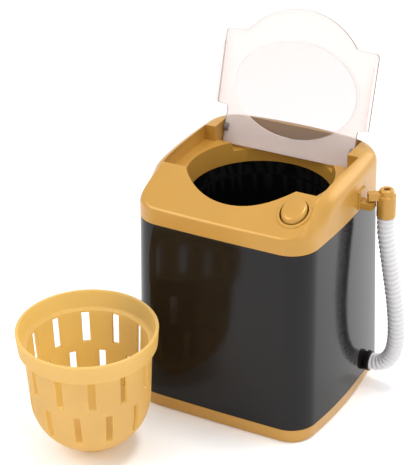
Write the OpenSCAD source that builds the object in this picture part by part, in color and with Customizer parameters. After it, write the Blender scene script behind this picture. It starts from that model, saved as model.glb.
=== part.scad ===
// Toy washing machine with a clear lid, a drain hose and a loose basket.
// Millimetres, +Z up, front towards -Y. The origin is the centre of the machine's foot.

/* [Body] */
// Height of the gold base band
base_h = 7.4; // [6.4:0.1:9.4]
// Height of the black shell between the base and the top cover
shell_h = 89; // [86:0.5:100]
// Width of the shell at its top edge
top_w = 90; // [89:0.5:94]
// Depth of the shell at its top edge
top_d = 87.4; // [87:0.2:92]
// Width of the shell at its bottom edge
foot_w = 95; // [94:0.5:99]
// Depth of the shell at its bottom edge
foot_d = 92; // [91:0.5:96]
// Radius of the four upright corners
corner_r = 13; // [10:0.5:15]
// How far the sides bow outwards at the top edge
side_bow_top = 1.3; // [0.5:0.1:2]
// How far the sides bow outwards at the bottom edge
side_bow_foot = 2.4; // [1:0.1:3]
// How far the back bows outwards
back_bow = 2.1; // [0.5:0.1:2.5]
// How far the front bows outwards
front_bow = 0.3; // [0.1:0.1:1]
// Wall of the black shell
shell_wall = 1.8; // [1.2:0.1:2.4]
// Gap left between pieces that slip into each other
slip_gap = 0.3; // [0.2:0.05:0.45]

/* [Top cover] */
// Height of the cover's front crease above the shell
crease_rise = 7.6; // [7:0.1:9]
// Slope of the front panel behind the crease
panel_slope = 0.56; // [0.52:0.01:0.6]
// Height of the side rails above the shell
rail_rise = 20.9; // [20.4:0.1:21.4]
// Softness of the bend between the panel and the rails
deck_bend = 4; // [3:0.5:5]
// Wall of the top cover
cover_wall = 2; // [1.4:0.1:2.2]
// Roundness of the cover's long side shoulders
shoulder_r = 6.5; // [4:0.5:7]
// Roundness of the front crease
crease_r = 1.2; // [0.6:0.1:2]
// Roundness of the rear shoulder
rear_r = 5; // [3:0.5:6]
// Distance of the front panel's rear edge from the tub axis
panel_edge = 19.9; // [19.4:0.1:20.4]
// Height of the level recess floor above the shell
recess_rise = 13.3; // [13:0.1:13.6]
// Radius of the mouth at the recess floor and through the panel
mouth_r = 33.9; // [33.5:0.1:34.4]
// Depth of the mouth wall below the recess floor
mouth_depth = 10.2; // [9:0.2:10.6]

/* [Lid] */
// Width of the lid over its side flanges
lid_w = 77.2; // [74:0.2:77.6]
// Length of the lid from the hinge axis to its straight front edge
lid_len = 46.4; // [43:0.2:48]
// Thickness of the lid plate
lid_t = 1.2; // [1:0.1:1.4]
// Depth of the side flanges below the plate's middle
flange_depth = 3.8; // [3:0.1:3.8]
// Radius of the round front of the lid
lid_front_r = 34.7; // [33:0.1:36]
// Distance of the round front's centre from the hinge axis
lid_front_at = 25.9; // [24:0.1:27]
// Half of the width of the round front at the straight edge
lid_front_hw = 27.6; // [24:0.2:28]
// Half width of the raised oval window
window_hw = 31.4; // [28:0.1:31.6]
// Half length of the raised oval window
window_hl = 23.1; // [20:0.1:23.2]
// Height of the step round the window
window_step = 0.7; // [0.4:0.1:1]
// How far the lid reaches behind its hinge axis
lid_tail = 7.5; // [5:0.1:7.5]
// Distance of the hinge axis behind the tub axis
hinge_at = 29; // [28:0.1:30]
// Height of the hinge axis above the recess floor
hinge_rise = 4.1; // [4.1:0.05:4.3]
// Radius of the hinge pins
hinge_pin_r = 1; // [0.8:0.05:1.1]
// Radial clearance of a pin in its bore
pin_gap = 0.06; // [0.03:0.01:0.08]
// Angle from closed to fully open
lid_open = 107; // [100:1:110]

/* [Button] */
// Distance of the button to the right of the tub axis
button_x = 31.6; // [31.2:0.1:31.8]
// Distance of the button in front of the tub axis
button_y = 30.5; // [30.2:0.1:30.8]
// Radius of the push button
button_r = 5.7; // [5:0.1:5.9]
// How far the button stands proud of the panel
button_proud = 2.2; // [1.6:0.1:2.6]
// Depth of the button's well below its front rim
well_depth = 3.2; // [3:0.1:3.4]
// Travel of the push button
button_travel = 2; // [1:0.1:2.2]

/* [Tub and drive] */
// Radius of the basket seat at the tub's mouth
seat_r = 32.7; // [32.4:0.1:33]
// Depth of the basket seat
seat_depth = 5.8; // [5.4:0.1:6.4]
// Inner radius of the tub below the seat
tub_r = 30.6; // [30.2:0.1:31]
// Wall of the tub
tub_wall = 1.6; // [1.2:0.1:2]
// Height of the tub's inner floor above the table
tub_floor_z = 34; // [34:0.2:38]
// Height of the pulsator over its blades
pulsator_h = 4.2; // [3.6:0.1:4.6]
// Radius of the pulsator
pulsator_r = 22; // [16:0.5:24]
// Number of pulsator blades
blade_count = 4; // [3:1:6]
// Radius of the pulsator's steel shaft
shaft_r = 1.5; // [1.2:0.05:1.7]
// Running clearance round the shaft
shaft_gap = 0.05; // [0.03:0.01:0.08]
// Gear module
gear_module = 0.6; // [0.58:0.01:0.62]
// Teeth on the drive gear
gear_teeth = 36; // [36:12:36]
// Teeth on the motor pinion
pinion_teeth = 12; // [12:1:12]
// Thickness of the drive gear
gear_t = 2; // [1.5:0.1:2.1]
// Radius of the motor can
motor_r = 10; // [9:0.1:10.2]
// Length of the motor can without its end cap
motor_len = 20.5; // [18:0.5:20.5]

/* [Power] */
// Diameter of an AA cell
cell_d = 14.5; // [14.3:0.1:14.6]
// Length of an AA cell's case
cell_len = 49.5; // [49:0.1:49.8]
// Wall of the battery compartment
bay_wall = 1.8; // [1.4:0.1:2]
// Thickness of the battery door
door_t = 1.7; // [1.4:0.1:1.8]

/* [Drain] */
// Outer radius of the hose over its ribs
hose_r = 4.15; // [3.8:0.05:4.2]
// Depth of the grooves between the ribs
rib_depth = 0.5; // [0.3:0.05:0.6]
// Inner radius of the hose
hose_bore_r = 3; // [2.9:0.05:3.1]
// Height of the nozzle's axis above the table
nozzle_z = 12.2; // [12.2:0.1:12.2]
// Outer radius of the nozzle's collar
nozzle_r = 4.9; // [4.4:0.1:5]
// Radius of the hose cap
cap_r = 4.4; // [4.3:0.05:4.6]
// Length of the hose cap's straight part
cap_len = 10.8; // [9:0.1:12]

/* [Basket] */
// Outer radius of the basket's rim
rim_r = 31.6; // [30:0.1:31.8]
// Height of the basket
basket_h = 62.4; // [58:0.1:62.4]
// Height of the basket's collar
collar_h = 10.4; // [9:0.1:11]
// Outer radius of the wall below the collar
basket_r = 28.4; // [27.6:0.1:29.4]
// Outer radius where the wall meets the round bottom
basket_low_r = 27.1; // [25.8:0.1:27.2]
// Radius of the round bottom's curve
bowl_r = 25.5; // [22:0.5:25.5]
// Outer radius of the small ring that the basket stands on
foot_ring_r = 8.2; // [7:0.1:9]
// Height of the small ring
foot_ring_h = 2.2; // [1:0.1:2.6]
// How far the basket leans, in degrees
basket_lean = 1.7; // [0:0.1:3]
// Wall of the basket
basket_wall = 1.5; // [1.2:0.1:1.8]
// Slots in each of the two rows
slot_count = 12; // [8:1:14]
// Width of a slot
slot_w = 3.3; // [2:0.1:3.6]
// Where the basket stands, right of the machine's centre
basket_x = -43.2; // [-50:0.1:-40]
// Where the basket stands, behind the machine's centre
basket_y = -83.5; // [-95:0.1:-80]

/* [Hidden] */
$fn = 64;
eps = 0.01;
gold = [0.80, 0.60, 0.31];
black = [0.10, 0.09, 0.09];
steel = [0.70, 0.71, 0.73];

// ---- Heights and places that follow from the sizes above
seam_z = base_h + shell_h;
crease_z = seam_z + crease_rise;
recess_z = seam_z + recess_rise;
hinge_z = recess_z + hinge_rise;
rail_z = seam_z + rail_rise;
tub_top_z = recess_z - mouth_depth;
tub_under_z = tub_floor_z - 2;
recess_hw = lid_w / 2 + 0.6;
ear_in = 33.8;
ear_front = hinge_at - 9;
trough_reach = lid_tail + 0.7;
trough_z = hinge_z - lid_tail - 0.9;
floor_t = 2;

// ---- Plan outline: four bowed sides joined by round corners
function mix(a, b, t) = a + (b - a) * t;
function arc(cx, cy, r, a0, a1, n) =
    [for (i = [0:n - 1]) let (a = a0 + (a1 - a0) * i / n) [cx + r * cos(a), cy + r * sin(a)]];
function bow_r(chord, bow) = (chord * chord / 4 + bow * bow) / (2 * bow);
// hx: half width, hf: reach to the front, hb: reach to the back, r: corner radius,
// bs, bf, bb: bow of the sides, the front and the back
function outline(hx, hf, hb, r, bs, bf, bb) =
    let (cx = hx - r - bs, cf = hf - r - bf, cb = hb - r - bb,
         rs = bow_r(cf + cb, bs), rf = bow_r(2 * cx, bf), rb = bow_r(2 * cx, bb),
         ys = (cb - cf) / 2, as = asin((cf + cb) / 2 / rs), af = asin(cx / rf),
         ab = asin(cx / rb))
    concat(arc(hx - r - rs, ys, rs + r, -as, as, 8),
           arc(cx, cb, r, as, 90 - ab, 8),
           arc(0, hb - r - rb, rb + r, 90 - ab, 90 + ab, 8),
           arc(-cx, cb, r, 90 + ab, 180 - as, 8),
           arc(rs + r - hx, ys, rs + r, 180 - as, 180 + as, 8),
           arc(-cx, -cf, r, 180 + as, 270 - af, 8),
           arc(0, rf + r - hf, rf + r, 270 - af, 270 + af, 8),
           arc(cx, -cf, r, 270 + af, 360 - as, 8));
function body_outline(z, inset) =
    let (t = (z - base_h) / shell_h)
    outline(mix(foot_w, top_w, t) / 2 - inset, mix(foot_d, top_d, t) / 2 - inset,
            mix(foot_d, top_d, t) / 2 - inset, corner_r - inset,
            mix(side_bow_foot, side_bow_top, t), front_bow, back_bow);

module slab(z, pts) {
    translate([0, 0, z]) linear_extrude(eps) polygon(pts);
}
module taper(z0, z1, inset) {
    hull() {
        slab(z0, body_outline(z0, inset));
        slab(z1 - eps, body_outline(z1, inset));
    }
}

// ---- Cover form: the seam outline under a sloping panel that bends into level rails
panel_foot_z = crease_z + deck_bend * deck_bend / 4 / (rail_z - crease_z);
function deck(y) = let (a = panel_foot_z + panel_slope * (y + top_d / 2), d = a - rail_z)
    (a + rail_z - sqrt(d * d + deck_bend * deck_bend)) / 2;
function round_in(r, d) = d >= r ? 0 : r - sqrt(r * r - (r - d) * (r - d));
deck_depths = [0, 0.15, 0.5, 1.2, 2.4, 4, 6.5];
function deck_ring(d, inset, drop) =
    let (hx = top_w / 2 - inset - round_in(shoulder_r, d), hy = top_d / 2 - inset)
    [for (p = outline(hx, hy - round_in(crease_r, d), hy - round_in(rear_r, d),
                      corner_r - inset, side_bow_top, front_bow, back_bow))
        [p.x, p.y, deck(p.y) - d - drop]];
module cover_form(z0, inset, drop) {
    rings = concat([[for (p = body_outline(seam_z, inset)) [p.x, p.y, z0]]],
                   [for (d = deck_depths) deck_ring(d, inset, drop)]);
    n = len(rings[0]);
    hull() polyhedron(points = [for (ring = rings) each ring],
                      faces = [for (k = [0:len(rings) - 1]) [for (i = [0:n - 1]) k * n + i]]);
}

module cyl(x, y, z0, z1, r) {
    translate([x, y, z0]) cylinder(h = z1 - z0, r = r);
}
module block(x0, x1, y0, y1, z0, z1) {
    translate([x0, y0, z0]) cube([x1 - x0, y1 - y0, z1 - z0]);
}
module ring(x, y, z0, z1, ro, ri) {
    difference() {
        cyl(x, y, z0, z1, ro);
        cyl(x, y, z0 - 1, z1 + 1, ri);
    }
}

// ---- Swept tubes: rings of points carried along a smooth route
function unit(v) = v / norm(v);
function spline(a, b, c, d, t) =
    0.5 * (2 * b + (c - a) * t + (2 * a - 5 * b + 4 * c - d) * t * t
           + (3 * b - a - 3 * c + d) * t * t * t);
function at(p, i) = i < 0 ? 2 * p[0] - p[1]
                  : i >= len(p) ? 2 * p[len(p) - 1] - p[len(p) - 2] : p[i];
function smooth_route(p, n, before) =
    concat([for (i = [0:len(p) - 2], k = [0:n - 1])
                spline(i == 0 && before != undef ? before : at(p, i - 1), p[i], p[i + 1],
                       at(p, i + 2), k / n)],
           [p[len(p) - 1]]);
function tangent(p, i) = unit(p[min(i + 1, len(p) - 1)] - p[max(i - 1, 0)]);
function ring_at(c, t, side, r, n) =
    let (u = unit(cross(t, side)), v = cross(t, u))
    [for (k = [0:n - 1]) c + r * (cos(360 * k / n) * u + sin(360 * k / n) * v)];
function band(a, b, n) =
    [for (k = [0:n - 1]) each [[a + k, a + (k + 1) % n, b + k],
                               [a + (k + 1) % n, b + (k + 1) % n, b + k]]];
module sweep(path, radii, n, side) {
    m = len(path);
    pts = [for (i = [0:m - 1]) each ring_at(path[i], tangent(path, i), side, radii[i], n)];
    faces = concat([for (i = [0:m - 2]) each band(i * n, (i + 1) * n, n)],
                   [[for (k = [0:n - 1]) n - 1 - k]],
                   [[for (k = [0:n - 1]) (m - 1) * n + k]]);
    polyhedron(points = pts, faces = faces);
}
module hollow_sweep(path, radii, bore, n, side) {
    m = len(path);
    outer = [for (i = [0:m - 1]) each ring_at(path[i], tangent(path, i), side, radii[i], n)];
    inner = [for (i = [0:m - 1]) each ring_at(path[i], tangent(path, i), side, bore, n)];
    s = m * n;
    walls = [for (i = [0:m - 2]) each concat(band(i * n, (i + 1) * n, n),
                                             [for (f = band(s + i * n, s + (i + 1) * n, n))
                                                 [f[0], f[2], f[1]]])];
    near = [for (f = band(0, s, n)) [f[0], f[2], f[1]]];
    far = band((m - 1) * n, s + (m - 1) * n, n);
    polyhedron(points = concat(outer, inner), faces = concat(walls, near, far));
}
module coil(x, y, z0, z1, r, wire_r, turns) {
    steps = 12;
    n = turns * steps;
    path = [for (i = [0:n]) [x + r * cos(360 * i / steps), y + r * sin(360 * i / steps),
                             mix(z0 + wire_r, z1 - wire_r, i / n)]];
    sweep(path, [for (p = path) wire_r], 6, [0, 0, 1]);
}
module screw(x, y, z_head, len, shank_r, head_r, head_h) {
    difference() {
        union() {
            cyl(x, y, z_head, z_head + head_h, head_r);
            cyl(x, y, z_head, z_head + head_h + len, shank_r);
        }
        block(x - 0.3, x + 0.3, y - head_r * 0.7, y + head_r * 0.7, z_head - 1, z_head + 0.6);
        block(x - head_r * 0.7, x + head_r * 0.7, y - 0.3, y + 0.3, z_head - 1, z_head + 0.6);
    }
}

// ---- Screw posts between the cover and the base
post_r = 3.3;
post_hole_r = 1.25;
base_screw_r = 1.2;
base_screw_len = 10;
post_x = top_w / 2 - 9.5;
post_y = top_d / 2 - 10.2;
// The front pair stand further back, clear of the button's switch
front_post_x = top_w / 2 - 6.2;
front_post_y = 14;
posts = [for (s = [-1, 1]) each [[s * post_x, post_y], [s * front_post_x, -front_post_y]]];
foot_t = 2;
boss_h = 5;
post_z = foot_t + boss_h;
// ---- Battery bay, under the front half
cell_pitch = cell_d + 0.8;
contact_t = 0.4;
nipple_h = 1;
contact_play = 0.05;
bay_hx = (cell_len + nipple_h + 3) / 2 + contact_t + contact_play;
cell_back = cell_len + nipple_h + contact_play + contact_t - bay_hx;
bay_y1 = -5.5;
bay_y0 = bay_y1 - 2 * cell_d - 1.6;
cell_z = foot_t + 0.6 + cell_d / 2;
bay_top = cell_z + cell_d / 2 + 0.6;
cell_rear_y = (bay_y0 + bay_y1) / 2 + cell_pitch / 2;
cell_front_y = cell_rear_y - cell_pitch;
door_gap = 0.3;
door_inset = 0.3;
door_hx = bay_hx + 2;
door_y0 = bay_y0 - 1.2;
door_y1 = bay_y1 + 8;
door_screw_y = bay_y1 + bay_wall + 3.1;

module base() {
    color(gold) difference() {
        union() {
            difference() {
                hull() {
                    slab(0, body_outline(base_h, 1.8));
                    slab(0.8, body_outline(base_h, 1));
                    slab(base_h - eps, body_outline(base_h, 0));
                }
                translate([0, 0, foot_t]) linear_extrude(base_h)
                    polygon(body_outline(base_h, shell_wall));
            }
            // Lip that locates the shell
            difference() {
                translate([0, 0, foot_t - eps]) linear_extrude(base_h + 2 - foot_t)
                    polygon(body_outline(base_h + 4, shell_wall + slip_gap));
                translate([0, 0, foot_t - 1]) linear_extrude(base_h + 4)
                    polygon(body_outline(base_h + 4, shell_wall + slip_gap + 1.2));
            }
            for (p = posts) cyl(p.x, p.y, foot_t - eps, post_z, post_r + 1);
            // Battery bay
            block(-bay_hx - bay_wall, bay_hx + bay_wall, bay_y0 - bay_wall, bay_y1 + bay_wall,
                  foot_t - eps, bay_top + bay_wall);
            block(-door_hx - 1.4, door_hx + 1.4, door_y0 - 1.4, door_y1 + 1.4,
                  foot_t - eps, door_inset + door_t + 1.4);
            cyl(0, door_screw_y, foot_t - eps, foot_t + 5, 3);
            // Rib under the motor
            block(-6, 6, motor_y - 2, motor_y + 2, foot_t - eps, motor_z0 - 0.1);
        }
        block(-bay_hx, bay_hx, bay_y0, bay_y1, -1, bay_top);
        // Ledge for the battery door
        block(-door_hx, door_hx, door_y0, door_y1, -1, door_inset + door_t);
        cyl(0, door_screw_y, 0, foot_t + 4, 0.85);
        for (p = posts) {
            cyl(p.x, p.y, -1, post_z + 1, base_screw_r + 0.25);
            cyl(p.x, p.y, -1, 3, 2.7);
        }
        // Slots for the contact tabs
        for (y = [cell_front_y, cell_rear_y])
            block(bay_hx - contact_t - 0.1, bay_hx + 0.1, y - 2.2, y + 2.2,
                  bay_top - 1, bay_top + bay_wall + 1);
        // Notch under the drain nozzle's nut
        cyl(nozzle_face - 3.2, nozzle_y, nozzle_z - nut_r - 0.3, base_h + 4, 6.4);
    }
}

module outer_shell() {
    color(black) difference() {
        taper(base_h, seam_z, 0);
        taper(base_h - 1, seam_z + 1, shell_wall);
        translate([0, nozzle_y, nozzle_z]) rotate([0, 90, 0])
            cylinder(h = foot_w, r = nozzle_neck_r + 0.2);
    }
}

// ---- Button, boss and switch, on a line out from the tub axis
button_turn = -atan2(button_y, button_x);
button_reach = norm([button_x, button_y]);
button_z = deck(-button_y);
well_r = button_r + 0.7;
well_wall = 1;
well_floor_z = deck(-button_y - well_r) - well_depth;
well_floor_t = 1.2;
stem_r = 2.2;
collar_r = 3.2;
collar_t = 1.2;
collar_top_z = well_floor_z - well_floor_t - 0.3;
switch_top_z = seam_z - 5;
switch_h = 7;
board_t = 1.2;
board_z = switch_top_z - switch_h - board_t;
board_in = button_reach - 4.4;
board_out = button_reach + 6.1;
board_hw = 8.6;
board_post_r = 2.1;
board_post_at = [for (s = [-1, 1]) [button_reach + 0.9, s * (board_hw - 2.3)]];
function on_board(r, side) =
    [r * cos(button_turn) - side * sin(button_turn), r * sin(button_turn) + side * cos(button_turn)];

module in_button_frame() {
    rotate([0, 0, button_turn]) children();
}

// ---- Side lug that holds the hose cap's arm
lug_y = 11.6;
lug_z = seam_z + 2;
arm_z = lug_z + 3.1;

tub_ears = [0, 90, 180, 250];
tub_ear_at = seat_r + 4;
tub_ear_r = 3.8;
tub_flange_t = 1.6;
tub_screw_len = 3;

module cover_features() {
    // Wall under the panel's rear edge
    block(-recess_hw - 1, recess_hw + 1, -panel_edge - floor_t, -panel_edge,
          recess_z - floor_t, rail_z + 1);
    // Level recess floor and the lower trough behind it
    block(-recess_hw - 1, recess_hw + 1, -panel_edge, trough_front, recess_z - floor_t, recess_z);
    block(-ear_in - 1, ear_in + 1, trough_front - 1.6, top_d, trough_z - floor_t, trough_z);
    block(-ear_in - 1, ear_in + 1, trough_front - 1.6, trough_front, trough_z - floor_t, recess_z);
    for (s = [-1, 1]) {
        // Side rails
        block(s > 0 ? recess_hw : -top_w / 2, s > 0 ? top_w / 2 : -recess_hw,
              -panel_edge, top_d, recess_z - floor_t, deck(top_d));
        // Hinge ears
        block(s > 0 ? ear_in : -top_w / 2, s > 0 ? top_w / 2 : -ear_in,
              ear_front, top_d, trough_z - floor_t, deck(top_d));
    }
    // Rear rail
    block(-top_w / 2, top_w / 2, hinge_at + trough_reach, top_d, trough_z - floor_t, deck(top_d));
    // Wall of the mouth
    cyl(0, 0, tub_top_z, rail_z + 1, mouth_r + 1.4);
    button_cup();
    for (a = tub_ears) rotate([0, 0, a]) cyl(tub_ear_at, 0, tub_top_z, button_z + 5, tub_ear_r);
    in_button_frame() for (p = board_post_at) cyl(p.x, p.y, tub_top_z, button_z + 4, board_post_r);
    for (p = posts) cyl(p.x, p.y, seam_z, deck(p.y), post_r);
}
trough_front = hinge_at - trough_reach + 1;
module button_cup() {
    cyl(button_x, -button_y, well_floor_z - well_floor_t, button_z + 3, well_r + well_wall);
}
// Everything above a slanted face, a little above the panel and parallel to it
panel_angle = atan(deck(-button_y + 0.5) - deck(-button_y - 0.5));
module above_slant(rise) {
    translate([button_x, -button_y, button_z + rise]) rotate([panel_angle, 0, 0])
        translate([-20, -20, 0]) cube([40, 40, 20]);
}
lip_rise = 0.4;

module top_cover() {
    color(gold) difference() {
        union() {
            difference() {
                cover_form(seam_z, 0, 0);
                cover_form(seam_z - 1, cover_wall, cover_wall);
            }
            intersection() {
                cover_form(seam_z, 0, 0);
                cover_features();
            }
            // Thin lip round the button's well, along the slope of the deck
            intersection() {
                translate([0, 0, lip_rise]) cover_form(seam_z, 0, 0);
                cyl(button_x, -button_y, well_floor_z, rail_z + 1, well_r + well_wall);
            }
            // Lip that locates the shell
            difference() {
                translate([0, 0, seam_z - 3]) linear_extrude(3 + eps)
                    polygon(body_outline(seam_z, shell_wall + slip_gap));
                translate([0, 0, seam_z - 4]) linear_extrude(6)
                    polygon(body_outline(seam_z, shell_wall + slip_gap + 1.2));
            }
            for (p = posts) cyl(p.x, p.y, post_z, seam_z + 1, post_r);
            in_button_frame() for (p = board_post_at)
                cyl(p.x, p.y, board_z + board_t, tub_top_z + 1, board_post_r);
            // Side lug
            block(top_w / 2 - 1.5, top_w / 2 + 1.6, lug_y - 4, lug_y + 3.4, lug_z - 1, lug_z + 9);
            block(top_w / 2 - 1.5, top_w / 2 + 6, lug_y - 2.6, lug_y + 2.4, lug_z, lug_z + 2.4);
        }
        // Mouth: a cone below the recess floor, and straight up through the panel
        rotate_extrude() polygon([[0, tub_top_z], [seat_r, tub_top_z],
            [mouth_r, recess_z - 0.4], [mouth_r, rail_z + 2], [0, rail_z + 2]]);
        // Recess for the lid, and the trough that its tail swings in
        block(-recess_hw, recess_hw, -panel_edge, ear_front, recess_z, recess_z + 30);
        block(-ear_in, ear_in, -panel_edge, trough_front, recess_z, recess_z + 30);
        block(-ear_in, ear_in, trough_front - eps, hinge_at + trough_reach, trough_z, recess_z + 30);
        // Hinge bores
        for (s = [-1, 1]) translate([s > 0 ? ear_in - 1 : -ear_in - 4.6, hinge_at, hinge_z])
            rotate([0, 90, 0]) cylinder(h = 5.6, r = hinge_pin_r + pin_gap);
        // Button well
        cyl(button_x, -button_y, well_floor_z, button_z + 20, well_r);
        cyl(button_x, -button_y, well_floor_z - 3, button_z, stem_r + 0.1);
        cyl(button_x, -button_y, tub_top_z - 1, well_floor_z - well_floor_t, collar_r + 0.4);
        // Pilot holes
        for (a = tub_ears) rotate([0, 0, a])
            cyl(tub_ear_at, 0, tub_top_z - 1, tub_top_z + tub_screw_len + 0.2, 0.85);
        in_button_frame() for (p = board_post_at) cyl(p.x, p.y, board_z, board_z + 6, 0.75);
        for (p = posts) cyl(p.x, p.y, post_z - 1, post_z + base_screw_len, post_hole_r);
    }
}

// ---- Lid, drawn closed and level, then opened about its hinge
// The wide part starts clear of the ears' upper edges, which it swings past
lid_step = norm([hinge_at - ear_front, rail_z - hinge_z]) + slip_gap;
function lid_arc(n) = let (a = acos(lid_front_hw / lid_front_r))
    [for (i = [0:n]) let (t = a + (180 - 2 * a) * i / n)
        [lid_front_r * cos(t), lid_front_at + lid_front_r * sin(t)]];
module lid_plan() {
    polygon(concat([[-ear_in + 0.5, -lid_tail], [ear_in - 0.5, -lid_tail],
                    [ear_in - 0.5, lid_step], [lid_w / 2, lid_step + 0.5],
                    [lid_w / 2, lid_len - 2], [lid_w / 2 - 2, lid_len]],
                   lid_arc(24),
                   [[2 - lid_w / 2, lid_len], [-lid_w / 2, lid_len - 2],
                    [-lid_w / 2, lid_step + 0.5], [0.5 - ear_in, lid_step]]));
}
module window_plan(grow) {
    polygon([for (i = [0:59]) [(window_hw + grow) * cos(6 * i),
                               window_at + (window_hl + grow) * sin(6 * i)]]);
}
window_at = lid_len / 2;
module lid() {
    color([0.93, 0.90, 0.90, 0.35])
    translate([0, hinge_at, hinge_z]) rotate([-lid_open, 0, 0]) rotate([0, 0, 180]) {
        difference() {
            union() {
                translate([0, 0, -lid_t / 2]) linear_extrude(lid_t) lid_plan();
                translate([0, 0, -lid_t / 2]) linear_extrude(lid_t + window_step)
                    window_plan(0);
                for (s = [-1, 1]) {
                    // Side flanges
                    block(s > 0 ? lid_w / 2 - lid_t : -lid_w / 2, s > 0 ? lid_w / 2 : lid_t - lid_w / 2,
                          lid_step + 0.5, lid_len - 5, -flange_depth, 0);
                    // Hinge knuckles and pins
                    translate([s > 0 ? ear_in - 2.6 : 0.5 - ear_in, 0, 0]) rotate([0, 90, 0])
                        cylinder(h = 2.1, r = 2);
                    translate([s > 0 ? ear_in - 2 : -ear_in - 3.4, 0, 0]) rotate([0, 90, 0])
                        cylinder(h = 5.4, r = hinge_pin_r);
                }
            }
            translate([0, 0, -lid_t]) linear_extrude(lid_t / 2 + window_step)
                window_plan(-lid_t);
        }
    }
}

// ---- Tub
drain_at = [21.5, 12];
tub_low_r = tub_r - 1;
bush_r = 3;
hub_top_z = tub_floor_z + 1.2;
seal_t = 1.2;
hub_low_z = tub_under_z - 0.5;
module tub() {
    color(black) difference() {
        union() {
            rotate_extrude() difference() {
                polygon([[0, tub_under_z], [tub_low_r - 3.4, tub_under_z],
                         [tub_low_r + tub_wall, tub_floor_z + 5],
                         [tub_r + tub_wall, tub_top_z - seat_depth - 3],
                         [seat_r + tub_wall, tub_top_z - seat_depth - 1.5],
                         [seat_r + tub_wall, tub_top_z - tub_flange_t],
                         [seat_r + 2, tub_top_z - tub_flange_t], [seat_r + 2, tub_top_z],
                         [0, tub_top_z]]);
                polygon([[-1, tub_floor_z], [tub_low_r - 4, tub_floor_z],
                         [tub_low_r - 1.2, tub_floor_z + 1.6], [tub_low_r, tub_floor_z + 5],
                         [tub_r, tub_top_z - seat_depth - 10], [tub_r, tub_top_z - seat_depth],
                         [seat_r, tub_top_z - seat_depth], [seat_r, tub_top_z + 1],
                         [-1, tub_top_z + 1]]);
            }
            for (a = tub_ears) rotate([0, 0, a]) {
                cyl(tub_ear_at, 0, tub_top_z - tub_flange_t, tub_top_z, tub_ear_r);
                block(seat_r + 0.4, tub_ear_at, -tub_ear_r, tub_ear_r,
                      tub_top_z - tub_flange_t, tub_top_z);
            }
            cyl(0, 0, hub_low_z, hub_top_z, bush_r + 2);
            for (s = [-1, 1])
                cyl(s * bracket_screw_x, motor_y, bracket_z + bracket_t, tub_under_z + eps, 2.8);
            cyl(drain_at.x, drain_at.y, tub_under_z - 6, tub_under_z + eps, spigot_r);
        }
        cyl(0, 0, hub_low_z - 1, hub_top_z + 1, bush_r);
        cyl(drain_at.x, drain_at.y, tub_under_z - 7, tub_floor_z + 4, 1.3);
        for (a = tub_ears) rotate([0, 0, a])
            cyl(tub_ear_at, 0, tub_top_z - 3, tub_top_z + 1, 1.2);
        for (s = [-1, 1])
            cyl(s * bracket_screw_x, motor_y, bracket_z, tub_under_z + 0.9, 0.85);
    }
}
spigot_r = 2;

module tub_screws() {
    color(steel) for (a = tub_ears) rotate([0, 0, a])
        screw(tub_ear_at, 0, tub_top_z - tub_flange_t - 1.4, tub_flange_t + tub_screw_len,
              0.8, 1.9, 1.4);
}
module base_screws() {
    color(steel) for (p = posts)
        screw(p.x, p.y, 1.4, post_z - 3 + base_screw_len - 1, base_screw_r, 2.4, 1.6);
}

// ---- Pulsator and its shaft
pulsator_z = hub_top_z + seal_t + 0.3;
pulsator_top = pulsator_z + pulsator_h;
module pulsator() {
    color([0.16, 0.15, 0.15]) difference() {
        union() {
            cyl(0, 0, pulsator_z, pulsator_z + 1.4, pulsator_r);
            translate([0, 0, pulsator_z + 1.4 - eps])
                cylinder(h = pulsator_top - pulsator_z - 1.4, r1 = 7, r2 = 4.4);
            for (k = [0:blade_count - 1]) rotate([0, 0, 360 * k / blade_count])
                translate([3, 0, pulsator_z + 1]) rotate([90, 0, 0])
                    translate([0, 0, -1]) linear_extrude(2)
                        polygon([[0, 0], [pulsator_r - 4.5, 0], [pulsator_r - 5.5, 1.6], [2, pulsator_h - 1.2]]);
        }
        cyl(0, 0, pulsator_z - 1, pulsator_top - 1.4, shaft_r + shaft_gap);
    }
}
module pulsator_shaft() {
    color(steel) cyl(0, 0, gear_z - 0.2, pulsator_top - 1.7, shaft_r);
}
module shaft_bush() {
    color([0.78, 0.62, 0.32])
        ring(0, 0, hub_low_z, hub_top_z, bush_r - 0.03, shaft_r + shaft_gap);
}
module shaft_seal() {
    color([0.35, 0.16, 0.12]) ring(0, 0, hub_top_z, hub_top_z + seal_t, bush_r + 1, shaft_r + shaft_gap);
}

// ---- Gears with involute flanks, cut a little thin so that they run freely
pressure = 20;
function involute(rb, r) = let (c = acos(rb / r)) tan(c) * 180 / PI - c;
function tooth_half(n, m, r) =
    let (rp = n * m / 2, rb = rp * cos(pressure))
    90 / n - gear_thin / (2 * rp) * 180 / PI + involute(rb, rp) - involute(rb, max(r, rb));
function gear_outline(n, m, turn) =
    let (rp = n * m / 2, rb = rp * cos(pressure), ro = rp + 0.7 * m, rr = rp - m,
         r1 = max(rb, rr), rs = [rr, r1 + 0.02, mix(r1, ro, 0.35), mix(r1, ro, 0.7), ro])
    [for (k = [0:n - 1]) let (a = 360 * k / n + turn)
        each concat([for (r = rs) let (h = tooth_half(n, m, r)) r * [cos(a - h), sin(a - h)]],
                    [for (i = [4:-1:0]) let (r = rs[i], h = tooth_half(n, m, r))
                        r * [cos(a + h), sin(a + h)]])];
gear_thin = 0.1;
motor_y = (gear_teeth + pinion_teeth) * gear_module / 2 + 0.05;
bracket_t = 1.4;
gear_z = hub_low_z - 0.2 - gear_t;
bracket_z = gear_z - 0.4 - bracket_t;
end_cap_h = 4.5;
motor_z1 = bracket_z;
motor_z0 = motor_z1 - motor_len - end_cap_h;
bracket_screw_x = motor_r + 4.5;
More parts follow.
